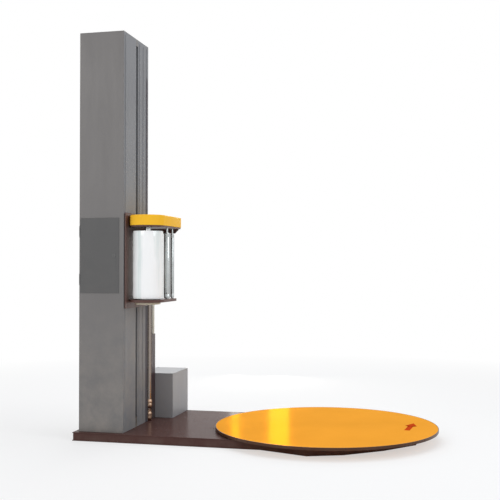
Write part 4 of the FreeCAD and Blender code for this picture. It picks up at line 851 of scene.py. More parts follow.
box_paint = painted_sheet("drive box enamel", "9f9fa1", 0.33, dust_and_low_light=0.22, dust_and_low_light_height=0.5, drift=0.06,
                          bare="b9b6b0")
softened("drive_box_cover", box_paint, 0.0015, "drive_box_shell")
softened("drive_box_lid", box_paint, 0.0015, "drive_box_top")

# ======================================================================================
# Mast: side panels, front sheets, rear cover, cap and foot
# 4 mm folded sheet, screwed and welded into a 3 m column, in satin grey enamel. The front
# is open along a narrow slot, and pressed stiffening ribs run down beside it.
# ======================================================================================


# A strip of painted shade darkens the mast front's far fold below the strip's top.
SHADE_STRIP_Y = -0.062
SHADE_STRIP_TOP = 2.74
SHADE_STRIP_SIDE_SOFT = 0.004
SHADE_STRIP_TOP_SOFT = 0.03


def painted_shade_strip(made):
    """Painted shade on the front's far fold: a darker colour where Y > edge and Z < top, each limit
    softened over a short way."""
    paint = made.node_tree
    shader = paint.nodes["Principled BSDF"]
    plain = shader.inputs["Base Color"].links[0].from_socket
    place = node(paint, "SeparateXYZ", {0: node(paint, "TexCoord").outputs["Object"]})
    beside = node(paint, "MapRange", {"Value": place.outputs["Y"], "From Min": SHADE_STRIP_Y - SHADE_STRIP_SIDE_SOFT,
                                      "From Max": SHADE_STRIP_Y + SHADE_STRIP_SIDE_SOFT})
    below = node(paint, "MapRange", {"Value": place.outputs["Z"], "From Min": SHADE_STRIP_TOP + SHADE_STRIP_TOP_SOFT,
                                     "From Max": SHADE_STRIP_TOP - SHADE_STRIP_TOP_SOFT})
    strip = node(paint, "Math", {0: beside.outputs[0], 1: below.outputs[0]}, operation="MULTIPLY")
    both = node(paint, "Mix", {0: strip.outputs[0], 6: plain, 7: srgb("58555a")}, data_type="RGBA")
    paint.links.new(both.outputs[2], shader.inputs["Base Color"])


mast_side = painted_sheet("mast side enamel", "777574", 0.38, dust_and_low_light=0.30, dust_and_low_light_height=1.1, drift=0.05,
                          wear=0.25, bare="a8a6a2", peel=0.00010)
# On the mast's front the pale dust tone is partly painted light: it lightens the lower 1.9 m, standing in for
# light thrown up onto it, besides showing patchy dust.
mast_face = painted_sheet("mast front enamel", "808184", 0.34, dust_and_low_light=0.42, dust_and_low_light_height=1.9, drift=0.06,
                          wear=0.25, bare="b0adab", peel=0.00010, specular=0.08)
# Painted shade along the mast front's far fold.
painted_shade_strip(mast_face)
softened("mast_side_near", mast_side, 0.0012, "mast_side_panel_near", 60)
softened("mast_side_far", mast_side, 0.0015, "mast_side_panel_far")
softened("mast_front_near", mast_face, 0.0012, "mast_front_sheet_near", 60, 3)
softened("mast_front_far", mast_face, 0.0012, "mast_front_sheet_far", 60, 3)
finish_node("mast_rear_cover", mast_side)
softened("mast_top_cap", mast_side, 0.0012, "mast_top_sheet", 60)
finish_node("mast_foot", painted_sheet("foot frame paint", "55504c", 0.5, dust_and_low_light=0.6))

# ======================================================================================
# Lifting gear inside the mast
# Two channel rails carry the trolley. A gearmotor at the top turns a roller chain that
# hangs to an idler wheel at the foot; the chain's front strand pulls the trolley.
# ======================================================================================
rail_steel = machined_metal("drawn rail steel", "8f8d89", 0.34, oil=0.55, lines=(160.0, 160.0, 3.0))
softened("guide_rails", rail_steel, 0.001, "guide_channels")
finish_node("lift_drive_sprocket", ground_steel)
finish_node("lift_idler_sprocket", ground_steel)

# The loop is drawn lying down and then stood up in the XZ plane.
lift_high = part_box("lift_chain")[1]
lift_top = np.array(joints["lift_drive_spin"]["pos_m"])
lift_foot = np.array(joints["lift_idler_spin"]["pos_m"])
LIFT_LINK_BACK = 0.006
lift_r = lift_high.z - lift_top[2] - LIFT_LINK_BACK
LIFT_PITCH = 0.01905
loop_length = 2 * (lift_top[2] - lift_foot[2]) + 2 * math.pi * lift_r
places, headings = along_loop((0.0, lift_foot[2]), lift_r, (0.0, lift_top[2]), lift_r,
                              round(loop_length / LIFT_PITCH))
links = chain_shells(roller_chain_link(LIFT_PITCH, 0.0115, 0.0105), places, headings)
upright = np.array([(1.0, 0.0, 0.0), (0.0, 0.0, 1.0), (0.0, -1.0, 0.0)])
links = [(points @ upright + (lift_top[0], lift_top[1], 0.0), quads, tris) for points, quads, tris in links]
piece("lift_roller_chain", links, chain_steel, "machine", ["lift_chain"])

hoist_low, hoist_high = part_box("lift_gearmotor")
HOIST_BOX_DEEP = 0.095
HOIST_BOX_HALF = 0.065
HOIST_BOX_BACK = 0.070
HOIST_BOSS_HALF = 0.050
HOIST_MOTOR_R = 0.055
HOIST_MOTOR_BACK = 0.020
hoist_y1 = hoist_low.y + HOIST_BOX_DEEP
shaft_x, _, shaft_z = lift_top
hoist_foot = shaft_z - HOIST_BOX_HALF
gearbox = block((shaft_x - HOIST_BOX_BACK, hoist_low.y, hoist_foot),
                (hoist_high.x, hoist_y1, shaft_z + HOIST_BOX_HALF), 0.010, 4)
boss = block((shaft_x - HOIST_BOSS_HALF, hoist_y1, shaft_z - HOIST_BOSS_HALF),
             (shaft_x + HOIST_BOSS_HALF, hoist_high.y, shaft_z + HOIST_BOSS_HALF), 0.004)
hoist_motor = (shaft_x - HOIST_MOTOR_BACK, (hoist_low.y + hoist_y1) / 2, 0.0)
shells = [gearbox, boss, *finned_motor(hoist_motor, HOIST_MOTOR_R, hoist_low.z, hoist_foot, 24)]
piece("lift_gearbox_and_motor", shells, machine_iron, "machine", ["lift_gearmotor"])

# ======================================================================================
# Standpipe with its couplings
# A polished steel conduit rises beside the mast's front corner and bends back to the
# junction box. Two nickelled brass unions carry its foot.
# ======================================================================================


def chrome(name, colour, roughness, cloud=0.10, glance="8c8884"):
    """Polished plating with faint wiping haze; the glance colour is its tone seen edge-on."""
    made = machined_metal(name, colour, roughness, oil=cloud, lines=(6.0, 6.0, 30.0), depth=0.00001)
    made.node_tree.nodes["Principled BSDF"].inputs["Specular Tint"].default_value = srgb(glance)
    return made


def tube_along(points, radius, sides):
    """Tube carried along a path: at each point a circle square to the run, kept from twisting by
    taking the tangent off the last circle's side vector."""
    points = np.array(points, float)
    ahead = np.gradient(points, axis=0)
    ahead /= np.linalg.norm(ahead, axis=1, keepdims=True)
    side = np.cross(ahead, (0.0, 1.0, 0.0))
    weak = np.linalg.norm(side, axis=1) < 1e-6
    side[weak] = (1.0, 0.0, 0.0)
    side /= np.linalg.norm(side, axis=1, keepdims=True)
    up = np.cross(ahead, side)
    angle = np.linspace(0.0, 2 * math.pi, sides, endpoint=False)
    radius = np.broadcast_to(radius, (len(points),))
    ring = (np.cos(angle)[None, :, None] * side[:, None] + np.sin(angle)[None, :, None] * up[:, None])
    return skin(points[:, None] + ring * radius[:, None, None])


def riser_path(node_name, radius, bend):
    """Path of a tube that fills a CAD piece's box: it rises at +X, turns through a quarter circle
    and runs back to the mast at -X."""
    low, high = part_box(node_name)
    x = high.x - radius
    y = (low.y + high.y) / 2
    top = high.z - radius
    turn = np.linspace(0.0, math.pi / 2, 14)
    arc = np.stack([x - bend + bend * np.cos(turn), np.full(len(turn), y),
                    top - bend + bend * np.sin(turn)], -1)
    return np.concatenate([[(x, y, low.z)], arc, [(low.x, y, top)]])


PIPE_R = 0.0205
PIPE_BEND = 0.060
pipe_route = riser_path("standpipe", PIPE_R, PIPE_BEND)
# The pipe's near-black glance colour is painted shade: it darkens the tube's edges round its highlight.
pipe_chrome = chrome("polished pipe", "8f857e", 0.20, glance="1d1715")
piece("standpipe_tube", [tube_along(pipe_route, PIPE_R, 40)], pipe_chrome, "machine", ["standpipe"])
coupling_low, coupling_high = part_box("standpipe_couplings")
coupling_r = (coupling_high.x - coupling_low.x) / 2
GROOVE = 0.0014


def union_profile(low, high, inner, outer, waist):
    """Union nut: its outside bulges as outer - (outer - waist) x (2h - 1)^4 over its height share
    h, with two turned grooves about the middle."""
    share = np.linspace(0.0, 1.0, 17)
    bulge = outer - (outer - waist) * (2 * share - 1) ** 4
    bulge[[7, 9]] -= GROOVE
    rise = low + (high - low) * share
    return [(inner, low), *zip(bulge.tolist(), rise.tolist()), (inner, high)]


LOWER_R = 0.0245
LOWER_WAIST = 0.015
UPPER_WAIST = 0.0215
NUT_GAP = 0.012
NIPPLE_LAP = 0.002
pipe_foot = pipe_route[0][2]
pipe_at = pipe_route[0] * (1, 1, 0)
lower_top = pipe_foot - NUT_GAP
lower_nut = union_profile(coupling_low.z, lower_top, 0.004, LOWER_R, LOWER_WAIST)
upper_nut = union_profile(pipe_foot + NUT_GAP, coupling_high.z, PIPE_R + 0.0001, coupling_r, UPPER_WAIST)
nipple = disc(pipe_at, (0, 0, 1), PIPE_R * 0.97, lower_top - NIPPLE_LAP, pipe_foot + NIPPLE_LAP, 0.0005, 40)
shells = [lathe(lower_nut, pipe_at, sides=48, wrap=True), nipple,
          lathe(upper_nut, pipe_at, sides=48, wrap=True)]
piece("standpipe_unions", shells, chrome("nickelled brass", "b89c86", 0.28, 0.2, "7a6657"), "machine",
      ["standpipe_couplings"])

# ======================================================================================
# Cable trunking, corrugated conduit and junction box
# A slim sheet trunk covers the cables on the deck; a corrugated plastic conduit goes on
# up to a sheet junction box on the mast's far side.
# ======================================================================================
trunk_paint = painted_sheet("trunking enamel", "3f3033", 0.36, dust_and_low_light=0.2, dust_and_low_light_height=0.4, bare="7a706c")
softened("cable_trunking", trunk_paint, 0.002, "cable_trunk", segments=3)
# The conduit's radius falls and rises by RIB_DEEP as a cosine of the length run along it.
HOSE_R = 0.014
HOSE_BEND = 0.045
RIB_PITCH = 0.0045
RIB_DEEP = 0.0010
hose = riser_path("flexible_conduit", HOSE_R, HOSE_BEND)
run = np.concatenate([[0.0], np.cumsum(np.linalg.norm(np.diff(hose, axis=0), axis=1))])
steps = np.arange(0.0, run[-1], RIB_PITCH / 4)
fine = np.stack([np.interp(steps, run, hose[:, i]) for i in range(3)], -1)
ribbed = HOSE_R - RIB_DEEP + RIB_DEEP * np.cos(steps / RIB_PITCH * 2 * math.pi)
piece("corrugated_conduit", [tube_along(fine, ribbed, 20)],
      moulded("conduit plastic", "e2e2d8", 0.42), "machine", ["flexible_conduit"], sharp=70)
softened("junction_box", mast_side, 0.002, "junction_box_shell", segments=3)

# ======================================================================================
# Control cabinet in the mast: door, lock, mounting sheet and devices
# A plain sheet door on two pin hinges closes the cut-out. Behind it the inverter, the
# controller, the contactors and the terminals are fixed to a zinc-plated sheet.
# ======================================================================================
door_paint = painted_sheet("door enamel", "5c5c5c", 0.40, dust_and_low_light=0.12, dust_and_low_light_height=1.6, drift=0.03, wear=0.3,
                           bare="9a9894", peel=0.00010)
softened("control_door", door_paint, 0.0008, "cabinet_door_sheet", 60)
lock_metal = moulded("grey lock enamel", "585858", 0.42, scuffs=0.15)
softened("door_lock", lock_metal, 0.0006, "quarter_turn_lock", 60)
finish_node("control_backplate", machined_metal("passivated sheet", "b8b7a8", 0.36, oil=0.05,
                                                lines=(120.0, 120.0, 5.0)))

device_plastic = moulded("device plastic", "3b4045", 0.42, scuffs=0.1, depth=0.00008)
device_grey = moulded("device pale plastic", "a6a9a8", 0.40, scuffs=0.1)
lamp_green = moulded("terminal green", "3d7a4a", 0.35, scuffs=0.05)
copper_wire = moulded("wire insulation", "20304f", 0.35, scuffs=0.05)


def solid_boxes(node_name):
    """Lowest and highest corner of each loose solid of a CAD piece, found by spreading the lowest
    vertex number across shared places until nothing changes."""
    mesh = frame["nodes"][node_name].data
    points = np.zeros(len(mesh.vertices) * 3)
    mesh.vertices.foreach_get("co", points)
    points = points.reshape(-1, 3)
    faces = np.zeros(len(mesh.loops), int)
    mesh.loops.foreach_get("vertex_index", faces)
    faces = faces.reshape(-1, 3)
    _, same = np.unique(np.round(points, 6), axis=0, return_inverse=True)
    same = same.ravel()
    label = np.arange(same.max() + 1)
    tri = same[faces]
    while True:
        low = label[tri].min(1)
        fresh = label.copy()
        for i in range(3):
            np.minimum.at(fresh, tri[:, i], low)
        fresh = fresh[fresh]
        if (fresh == label).all():
            break
        label = fresh
    groups = label[same]
    return [(points[groups == g].min(0), points[groups == g].max(0)) for g in np.unique(groups)]


devices = sorted(solid_boxes("control_devices"), key=lambda box: (box[0][2], box[0][0]))
terminals, contactors, inverter, controller = devices


def on_front(device, x0, x1, z0, z1, proud, edge):
    """Block let into a device's front (-Y) face and standing proud of it."""
    front = device[0][1]
    return block((x0, front - proud, z0), (x1, front + SET_IN, z1), edge)


SET_IN = 0.001
TERMINAL_BLOCKS = 16
step = (terminals[1][0] - terminals[0][0]) / TERMINAL_BLOCKS
caps = []
for i in range(TERMINAL_BLOCKS):
    x = terminals[0][0] + step * (i + 0.5)
    caps.append(block((x - step * 0.42, terminals[0][1] - 0.003, terminals[0][2] + 0.004),
                      (x + step * 0.42, terminals[0][1] + 0.002, terminals[1][2] - 0.004), 0.0006))
piece("terminal_row", [block(*terminals, 0.002)], device_grey, "machine", ["control_devices"])
piece("terminal_caps", caps, lamp_green, "machine")
vents = [on_front(inverter, inverter[0][0] + 0.010, inverter[1][0] - 0.010, z, z + 0.004, 0.0015, 0.0008)
         for z in np.arange(inverter[0][2] + 0.012, inverter[0][2] + 0.07, 0.010)]
piece("inverter_case", [block(*inverter, 0.004, 3)] + vents, device_plastic, "machine")
keypad = block((inverter[0][0] + 0.018, inverter[0][1] - 0.003, inverter[1][2] - 0.065),
               (inverter[1][0] - 0.018, inverter[0][1] + 0.002, inverter[1][2] - 0.012), 0.002)
piece("inverter_keypad", [keypad], device_grey, "machine")
foot, top = controller[0][2] + 0.012, controller[1][2] - 0.012
modules = [on_front(controller, x, x + 0.009, foot, top, 0.002, 0.0008)
           for x in np.linspace(controller[0][0] + 0.006, controller[1][0] - 0.015, 5)]
piece("controller_case", [block(*controller, 0.003, 3)] + modules, device_grey, "machine")
CONTACTORS = 3
wide = (contactors[1][0] - contactors[0][0]) / CONTACTORS
shells = []
for i in range(CONTACTORS):
    x = contactors[0][0] + wide * i
    shells.append(block((x + 0.001, contactors[0][1], contactors[0][2]),
                        (x + wide - 0.001, contactors[1][1], contactors[1][2]), 0.002, 2))
    shells.append(on_front(contactors, x + wide * 0.3, x + wide * 0.7, contactors[0][2] + 0.020,
                           contactors[1][2] - 0.020, 0.003, 0.001))
piece("contactor_row", shells, device_plastic, "machine")

# Each wire leaves a terminal and swings over to its contactor as 3t^2 - 2t^3, bowed out by a
# half sine; t is its share of the way up.
WIRES = 6
t = np.linspace(0.0, 1.0, 12)
rise = contactors[0][2] - terminals[1][2]
wires = []
for i in range(WIRES):
    x = terminals[0][0] + step * (2 * i + 2)
    target = contactors[0][0] + 0.010 + i * 0.018
    route = np.stack([x + (target - x) * (3 * t ** 2 - 2 * t ** 3),
                      contactors[1][1] - 0.012 - 0.010 * np.sin(math.pi * t),
                      terminals[1][2] - 0.004 + (rise + 0.008) * t], -1)
    wires.append(tube_along(route, 0.0016, 8))
piece("panel_wires", wires, copper_wire, "machine")

# ======================================================================================
# Operator panel on the mast's rear: box, buttons, main switch
# A shallow sheet box carries a green start button, a black stop button, a red mushroom
# stop on a yellow collar and a red rotary main switch.
# ======================================================================================
panel_paint = painted_sheet("panel enamel", "55585a", 0.42, dust_and_low_light=0.1, dust_and_low_light_height=1.4, wear=0.5)
softened("operator_panel", panel_paint, 0.0015, "operator_panel_box", 60)
panel_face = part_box("operator_panel")[0].x


CAP_BACK = 0.0043
STEM_R = 0.008
FACE_SHARE = 0.92


def operator_button(node_name, body, colour, roughness, crown, name):
    """Button cap turned about X. At the share r of its radius the face lies crown x r^2 behind the
    cap's front where it is domed, or crown x (1 - r^2) where it is dished."""
    low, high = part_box(node_name)
    head_r = (high.y - low.y) / 2
    share = np.linspace(0.0, 1.0, 9)[1:]
    depth = crown * share ** 2 if crown > 0 else -crown * (1 - share ** 2)
    back = panel_face - CAP_BACK
    profile = [*zip(share * head_r * FACE_SHARE, low.x + depth),
               (head_r, low.x + abs(crown) * 0.5 + 0.002), (head_r, back - 0.001), (head_r - 0.001, back),
               (STEM_R, back), (STEM_R, panel_face + 0.0033), (STEM_R + 0.003, panel_face + 0.0033),
               (STEM_R + 0.003, panel_face + 0.0063), (STEM_R, panel_face + 0.0063), (STEM_R, high.x)]
    _, y, z = middle(node_name)
    cap = lathe(profile, (0, y, z), (1, 0, 0), 48)
    finish = moulded(name, colour, roughness, scuffs=0.08, depth=0.00002)
    piece(name.replace(" ", "_"), [cap], finish, body, [node_name])


operator_button("start_button", "start", "1f8f43", 0.28, -0.0012, "green start cap")
operator_button("stop_button", "stop", "1d1e20", 0.30, -0.0012, "black stop cap")
operator_button("emergency_stop", "estop", "c01f1a", 0.26, 0.005, "red mushroom cap")
CAP_GAP = 0.0005


def ring_round(node_name, thick, wide):
    """Ring on the panel round a button's cap, so that the pressed cap sinks into it."""
    low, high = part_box(node_name)
    cap_r = (high.y - low.y) / 2
    centre = middle(node_name) * (0, 1, 1)
    return annulus(centre, (1, 0, 0), cap_r + CAP_GAP, cap_r + wide, panel_face - thick, panel_face, 0.0006)


bezels = [ring_round("start_button", 0.003, 0.003), ring_round("stop_button", 0.003, 0.003)]
piece("button_bezels", bezels, chrome("bezel chrome", "bcbdbd", 0.2), "machine")
collar = ring_round("emergency_stop", 0.0015, 0.013)
piece("mushroom_collar", [collar], moulded("yellow collar", "d9a514", 0.35), "machine")

switch_red = moulded("switch red", "b8231d", 0.32, scuffs=0.1)
switch_low, switch_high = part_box("main_switch")
_, switch_y, switch_z = joints["main_switch_turn"]["pos_m"]
disc_back = panel_face - 0.0003
disc_r = (switch_high.y - switch_low.y) / 2
disc_profile = [(disc_r - 0.003, disc_back - 0.005), (disc_r, disc_back - 0.002), (disc_r, disc_back),
                (STEM_R, disc_back), (STEM_R, switch_high.x)]
# The grip's section is a rounded rectangle: cosine and sine, each to the power of 0.6.
GRIP_HALF = 0.022
GRIP_POWER = 0.6
bend = np.linspace(0.0, 2 * math.pi, 24, endpoint=False)
across = np.sign(np.cos(bend)) * np.abs(np.cos(bend)) ** GRIP_POWER
along = np.sign(np.sin(bend)) * np.abs(np.sin(bend)) ** GRIP_POWER
grip = [np.stack([np.full(len(bend), x), switch_y + half * across, switch_z + GRIP_HALF * share * along], -1)
        for x, half, share in ((disc_back - 0.004, 0.0060, 1.0), (disc_back - 0.012, 0.0052, 0.98),
                               (disc_back - 0.0165, 0.0046, 0.95), (switch_low.x, 0.0034, 0.90))]
shells = [lathe(disc_profile, (0, switch_y, switch_z), (1, 0, 0), 48), skin(np.array(grip))]
piece("main_switch_knob", shells, switch_red, "isolator", ["main_switch"])

gland_low, gland_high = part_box("cable_gland")
GLAND_BORE = 0.0065
THREAD_R = 0.0094
NUT_FACE = 0.009
gland_at = middle("cable_gland") * (0, 1, 1)
gland_r = (gland_high.y - gland_low.y) / 2
gland_x = gland_low.x
profile = [(GLAND_BORE, gland_x), (gland_r * 0.80, gland_x), (gland_r * 0.90, gland_x + 0.002),
           (gland_r * 0.90, gland_x + NUT_FACE), (THREAD_R, gland_x + NUT_FACE), (THREAD_R, gland_high.x),
           (GLAND_BORE, gland_high.x)]
body = lathe(profile, gland_at, (1, 0, 0), 40, wrap=True)
hexagon = annulus(gland_at, (1, 0, 0), THREAD_R, gland_r, gland_x + NUT_FACE / 2, gland_x + NUT_FACE, sides=6)
nut = annulus(gland_at, (1, 0, 0), THREAD_R, gland_r * 0.93, gland_x + 0.013, gland_x + 0.018, sides=6)
gland_nylon = moulded("gland nylon", "1c1d1e", 0.45, scuffs=0.1)
piece("supply_gland", [body, hexagon, nut], gland_nylon, "machine", ["cable_gland"])


def screw(centre, axis, head_r, height):
    """Pan head with a socket: a domed ring round a sunk middle, all turned about the axis."""
    shares = [(0.30, 0.45), (0.42, 0.45), (0.46, 0.95), (0.70, 1.0), (0.92, 0.72), (1.0, 0.25), (1.0, 0.0)]
    return lathe([(head_r * r, height * h) for r, h in shares], centre, axis, 20)


# A screw that is shorter in X than in Z sits in the mast's rear; the others sit in the box's lid.
screws = []
for low, high in solid_boxes("panel_screws"):
    size = high - low
    x, y, z = (low + high) / 2
    if size[0] < size[2]:
        screws.append(screw((high[0], y, z), (-1, 0, 0), size[1] / 2, size[0]))
    else:
        screws.append(screw((x, y, low[2]), (0, 0, 1), size[1] / 2, size[2]))
piece("pan_head_screws", screws, zinc_plate, "machine", ["panel_screws"])

# ======================================================================================
# Film carriage: trolley, back plate, plates and cover
# The back plate, top plate and tray are brown-painted sheet; the deep-drawn cover over
# the roller drive is glossy yellow. The trolley runs on white polymer blocks.
# ======================================================================================
carriage_paint = painted_sheet("carriage enamel", "5c433e", 0.38, dust_and_low_light=0.08, dust_and_low_light_height=1.2, wear=0.15,
                               bare="8d8780")
white_polymer = moulded("white polymer", "dcdcd2", 0.45, scuffs=0.5)
finish_node("carriage_trolley", ground_steel)
softened("trolley_guides", white_polymer, 0.001, "trolley_guide_blocks")
softened("carriage_backplate", carriage_paint, 0.0015, "carriage_back_sheet")
softened("carriage_top_plate", carriage_paint, 0.001, "carriage_upper_plate", 60)
softened("carriage_bottom_plate", carriage_paint, 0.001, "carriage_tray", 60)

cover_paint = painted_sheet("cover enamel", "f8bf36", 0.30, dust_and_low_light=0.0, wear=0.25, drift=0.05, bare="a08a5a",
                            specular=0.02)
cover_low, cover_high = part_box("carriage_cover")
film_at = np.array(joints["film_spin"]["pos_m"])
cover_r = cover_high.x - film_at[0]
COVER_CORNER = 0.025
COVER_WALL = 0.003
COVER_EDGE = 0.008
COVER_LIP = 0.0006
INNER_EDGE = COVER_EDGE * 0.6


def cover_plan(inset):
    """Plan of the cover: flat at the back, a quarter circle at the far outer corner, and half a
    circle about the film's axis at the near end; clockwise from above."""
    bend = np.linspace(0.0, math.pi / 2, 9)
    corner_r = COVER_CORNER - inset * 0.6
    x1 = cover_high.x - inset
    y1 = cover_high.y - inset
    corner = np.stack([x1 - corner_r + corner_r * np.sin(bend), y1 - corner_r + corner_r * np.cos(bend)], -1)
    turn = np.linspace(0.0, math.pi, 25)
    round_r = cover_r - inset
    nose = np.stack([film_at[0] + round_r * np.cos(turn), film_at[1] - round_r * np.sin(turn)], -1)
    back = np.array([(cover_low.x + inset, y1)])
    return np.concatenate([back, corner, nose])


def cover_bend(inset, top, edge, turn):
    """Rings of a rounded upper edge: at each angle the inset is edge x (1 - cos) and the depth
    below the top edge x (1 - sin)."""
    return [at_height(cover_plan(inset + edge * (1 - math.cos(a))), top - edge * (1 - math.sin(a)))
            for a in turn]


# One flat ring inside each rounded edge keeps its shading off the flat top.
turn = np.linspace(0.0, math.pi / 2, 6)
inner_top = cover_high.z - COVER_WALL
outer = [at_height(cover_plan(COVER_LIP), cover_low.z), at_height(cover_plan(0.0), cover_low.z + 0.0008),
         *cover_bend(0.0, cover_high.z, COVER_EDGE, turn),
         at_height(cover_plan(COVER_EDGE * 1.6), cover_high.z)]
inner = [at_height(cover_plan(COVER_WALL + COVER_EDGE), inner_top),
         *cover_bend(COVER_WALL, inner_top, INNER_EDGE, turn[::-1]),
         at_height(cover_plan(COVER_WALL), cover_low.z)]


def cup(rings, top_ring):
    """Open-bottomed shell: one surface from the outer foot over both walls, with the outer and the
    inner top each closed by a fan, and the two feet joined by a flat rim."""
    rows, count, _ = rings.shape
    index = np.arange(rows * count).reshape(rows, count)
    pairs = [(i, i + 1) for i in range(rows - 1) if i != top_ring] + [(rows - 1, 0)]
    quads = np.concatenate([np.stack([index[a], np.roll(index[a], -1), np.roll(index[b], -1), index[b]], -1)
                            for a, b in pairs])
    outer_top = index[top_ring]
    inner_top = index[top_ring + 1]
    outer_fan = np.stack([outer_top, np.roll(outer_top, -1), np.full(count, rows * count)], -1)
    inner_fan = np.stack([np.roll(inner_top, -1), inner_top, np.full(count, rows * count + 1)], -1)
    middles = [rings[top_ring].mean(0), rings[top_ring + 1].mean(0)]
    return np.concatenate([rings.reshape(-1, 3), middles]), quads, np.concatenate([outer_fan, inner_fan])


cover_shell = cup(np.array(outer + inner), len(outer) - 1)
piece("carriage_top_cover", [cover_shell], cover_paint, "carriage", ["carriage_cover"])

# ======================================================================================
# Film roll on its spindle, with the brake wheel
# 500 mm stretch film wound on a cardboard core. A turned aluminium mandrel holds the
# core, and a moulded brake wheel under the tray holds the film back.
# ======================================================================================


def film_material():
    """Clear film wound on itself: pale and glossy, with upright streaks where the layers trap air."""
    made = bpy.data.materials.new("wound stretch film")
    made.use_nodes = True
    film = made.node_tree
    shader = film.nodes["Principled BSDF"]
    place = node(film, "TexCoord").outputs["Object"]
    turned = node(film, "Mapping", {"Vector": place, "Location": (-film_at[0], -film_at[1], 0.0)})
    streaks = node(film, "Mapping", {"Vector": turned.outputs[0], "Scale": (24.0, 24.0, 0.35)})
    streak = node(film, "TexNoise", {"Vector": streaks.outputs[0], "Scale": 1.0, "Detail": 4.0,
                                     "Roughness": 0.6, "Distortion": 0.3})
    waves = node(film, "Mapping", {"Vector": turned.outputs[0], "Scale": (11.0, 11.0, 0.8)})
    cloud = node(film, "TexNoise", {"Vector": waves.outputs[0], "Scale": 1.0, "Detail": 5.0,
                                    "Roughness": 0.6})
    both = node(film, "Math", {0: streak.outputs[0], 1: 0.6, 2: cloud.outputs[0]}, operation="MULTIPLY_ADD")
    ramp = node(film, "ValToRGB", {"Fac": both.outputs[0]})
    for stop, share, tone in zip(ramp.color_ramp.elements, (0.60, 0.84), ("dce8e6", "fdfefe")):
        stop.position = share
        stop.color = srgb(tone)
    rough = node(film, "MapRange", {"Value": streak.outputs[0], "From Min": 0.3, "From Max": 0.7,
                                    "To Min": 0.10, "To Max": 0.26})
    bump = node(film, "Bump", {"Height": both.outputs[0], "Distance": 0.0008, "Strength": 0.35})
    film.links.new(ramp.outputs[0], shader.inputs["Base Color"])
    film.links.new(rough.outputs[0], shader.inputs["Roughness"])
    film.links.new(bump.outputs[0], shader.inputs["Normal"])
    shader.inputs["Coat Weight"].default_value = 0.5
    shader.inputs["Coat Roughness"].default_value = 0.08
    return made


film_low, film_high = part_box("film_roll")
core_low, core_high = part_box("film_core")
film_r = film_high.x - film_at[0]
core_r = core_high.x - film_at[0]
MANDREL_R = 0.038
FIT_GAP = 0.0001
FILM_SIDES = 96
END_ROUND = 0.0035
angle = np.linspace(0.0, 2 * math.pi, FILM_SIDES, endpoint=False)
height = np.linspace(0.0, 1.0, 41)


def about_film(radius, z):
    """Rings about the film's axis, one for each row of radii, at each row's height."""
    return np.stack([film_at[0] + radius * np.cos(angle), film_at[1] - radius * np.sin(angle),
                     np.broadcast_to(z[:, None], (len(z), FILM_SIDES))], -1)


# The outside sags in and out by under a millimetre; the ends step where the winder wandered.
wander = 0.00035 * np.sin(9 * math.pi * height)[:, None] + 0.0003 * np.sin(3 * angle + 14 * height[:, None])
tight = film_r - 0.0008 + wander - END_ROUND * (np.abs(2 * height - 1) ** 14)[:, None]
side_rings = about_film(tight, film_low.z + (film_high.z - film_low.z) * height)


def end_rings(z, inward):
    """Wound end face: rings from the outside to the core whose height wanders by a few tenths."""
    share = np.linspace(1.0, 0.0, 26)[1:]
    radius = core_r + FIT_GAP + (film_r - 0.0045 - core_r) * share
    ripple = 1 + np.sin(31 * share) * np.cos(11 * share + 1)
    lift = inward * 0.0007 * ripple * np.sin(math.pi * share) ** 0.5
    return about_film(radius[:, None], z + lift)


top_end = end_rings(film_high.z, -1.0)
low_end = end_rings(film_low.z, 1.0)[::-1]
roll = skin(np.concatenate([low_end, side_rings, top_end]), wrap=True)
piece("wound_film", [roll], film_material(), "film", ["film_roll"], sharp=50)

core_board = moulded("core board", "9a8468", 0.75, scuffs=0.3, grain=500.0, depth=0.0002)
film_axis = (film_at[0], film_at[1], 0.0)
core = annulus(film_axis, (0, 0, 1), MANDREL_R + FIT_GAP, core_r, core_low.z, core_high.z, 0.0006, 64)
piece("cardboard_core", [core], core_board, "film", ["film_core"])
spindle_metal = machined_metal("turned aluminium", "c3c4c4", 0.26, oil=0.1, lines=(5.0, 5.0, 900.0))
softened("film_spindle", spindle_metal, 0.0008, "mandrel_and_shaft", 60)

wheel_low, wheel_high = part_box("brake_wheel")
wheel_r = wheel_high.x - film_at[0]
SPINDLE_R = 0.012
WEB = 0.004
EDGE_ROUND = 0.002
RIM_WIDE = 0.008
RIBS = 8
RIB_HALF = 0.0018
foot, top = wheel_low.z, wheel_high.z
under_web = top - WEB - 0.001
profile = [(SPINDLE_R, foot), (0.026, foot), (0.028, foot + EDGE_ROUND), (0.030, under_web),
           (wheel_r - RIM_WIDE - 0.004, under_web), (wheel_r - RIM_WIDE - 0.002, foot + EDGE_ROUND),
           (wheel_r - RIM_WIDE, foot), (wheel_r - EDGE_ROUND, foot), (wheel_r, foot + EDGE_ROUND),
           (wheel_r, top - EDGE_ROUND), (wheel_r - EDGE_ROUND, top), (SPINDLE_R, top)]
shells = [lathe(profile, film_axis, (0, 0, 1), 72, wrap=True)]
rib = block((0.027, -RIB_HALF, foot + 0.003), (wheel_r - RIM_WIDE - 0.001, RIB_HALF, top - WEB), 0.0008)
for i in range(RIBS):
    a = 2 * math.pi * i / RIBS
    spin = np.array([(math.cos(a), math.sin(a), 0), (-math.sin(a), math.cos(a), 0), (0, 0, 1)])
    shells.append((rib[0] @ spin + film_axis, rib[1], rib[2]))
brake_plastic = moulded("moulded brake wheel", "c9bfa8", 0.4, scuffs=0.3)
piece("brake_disc", shells, brake_plastic, "film", ["brake_wheel"])

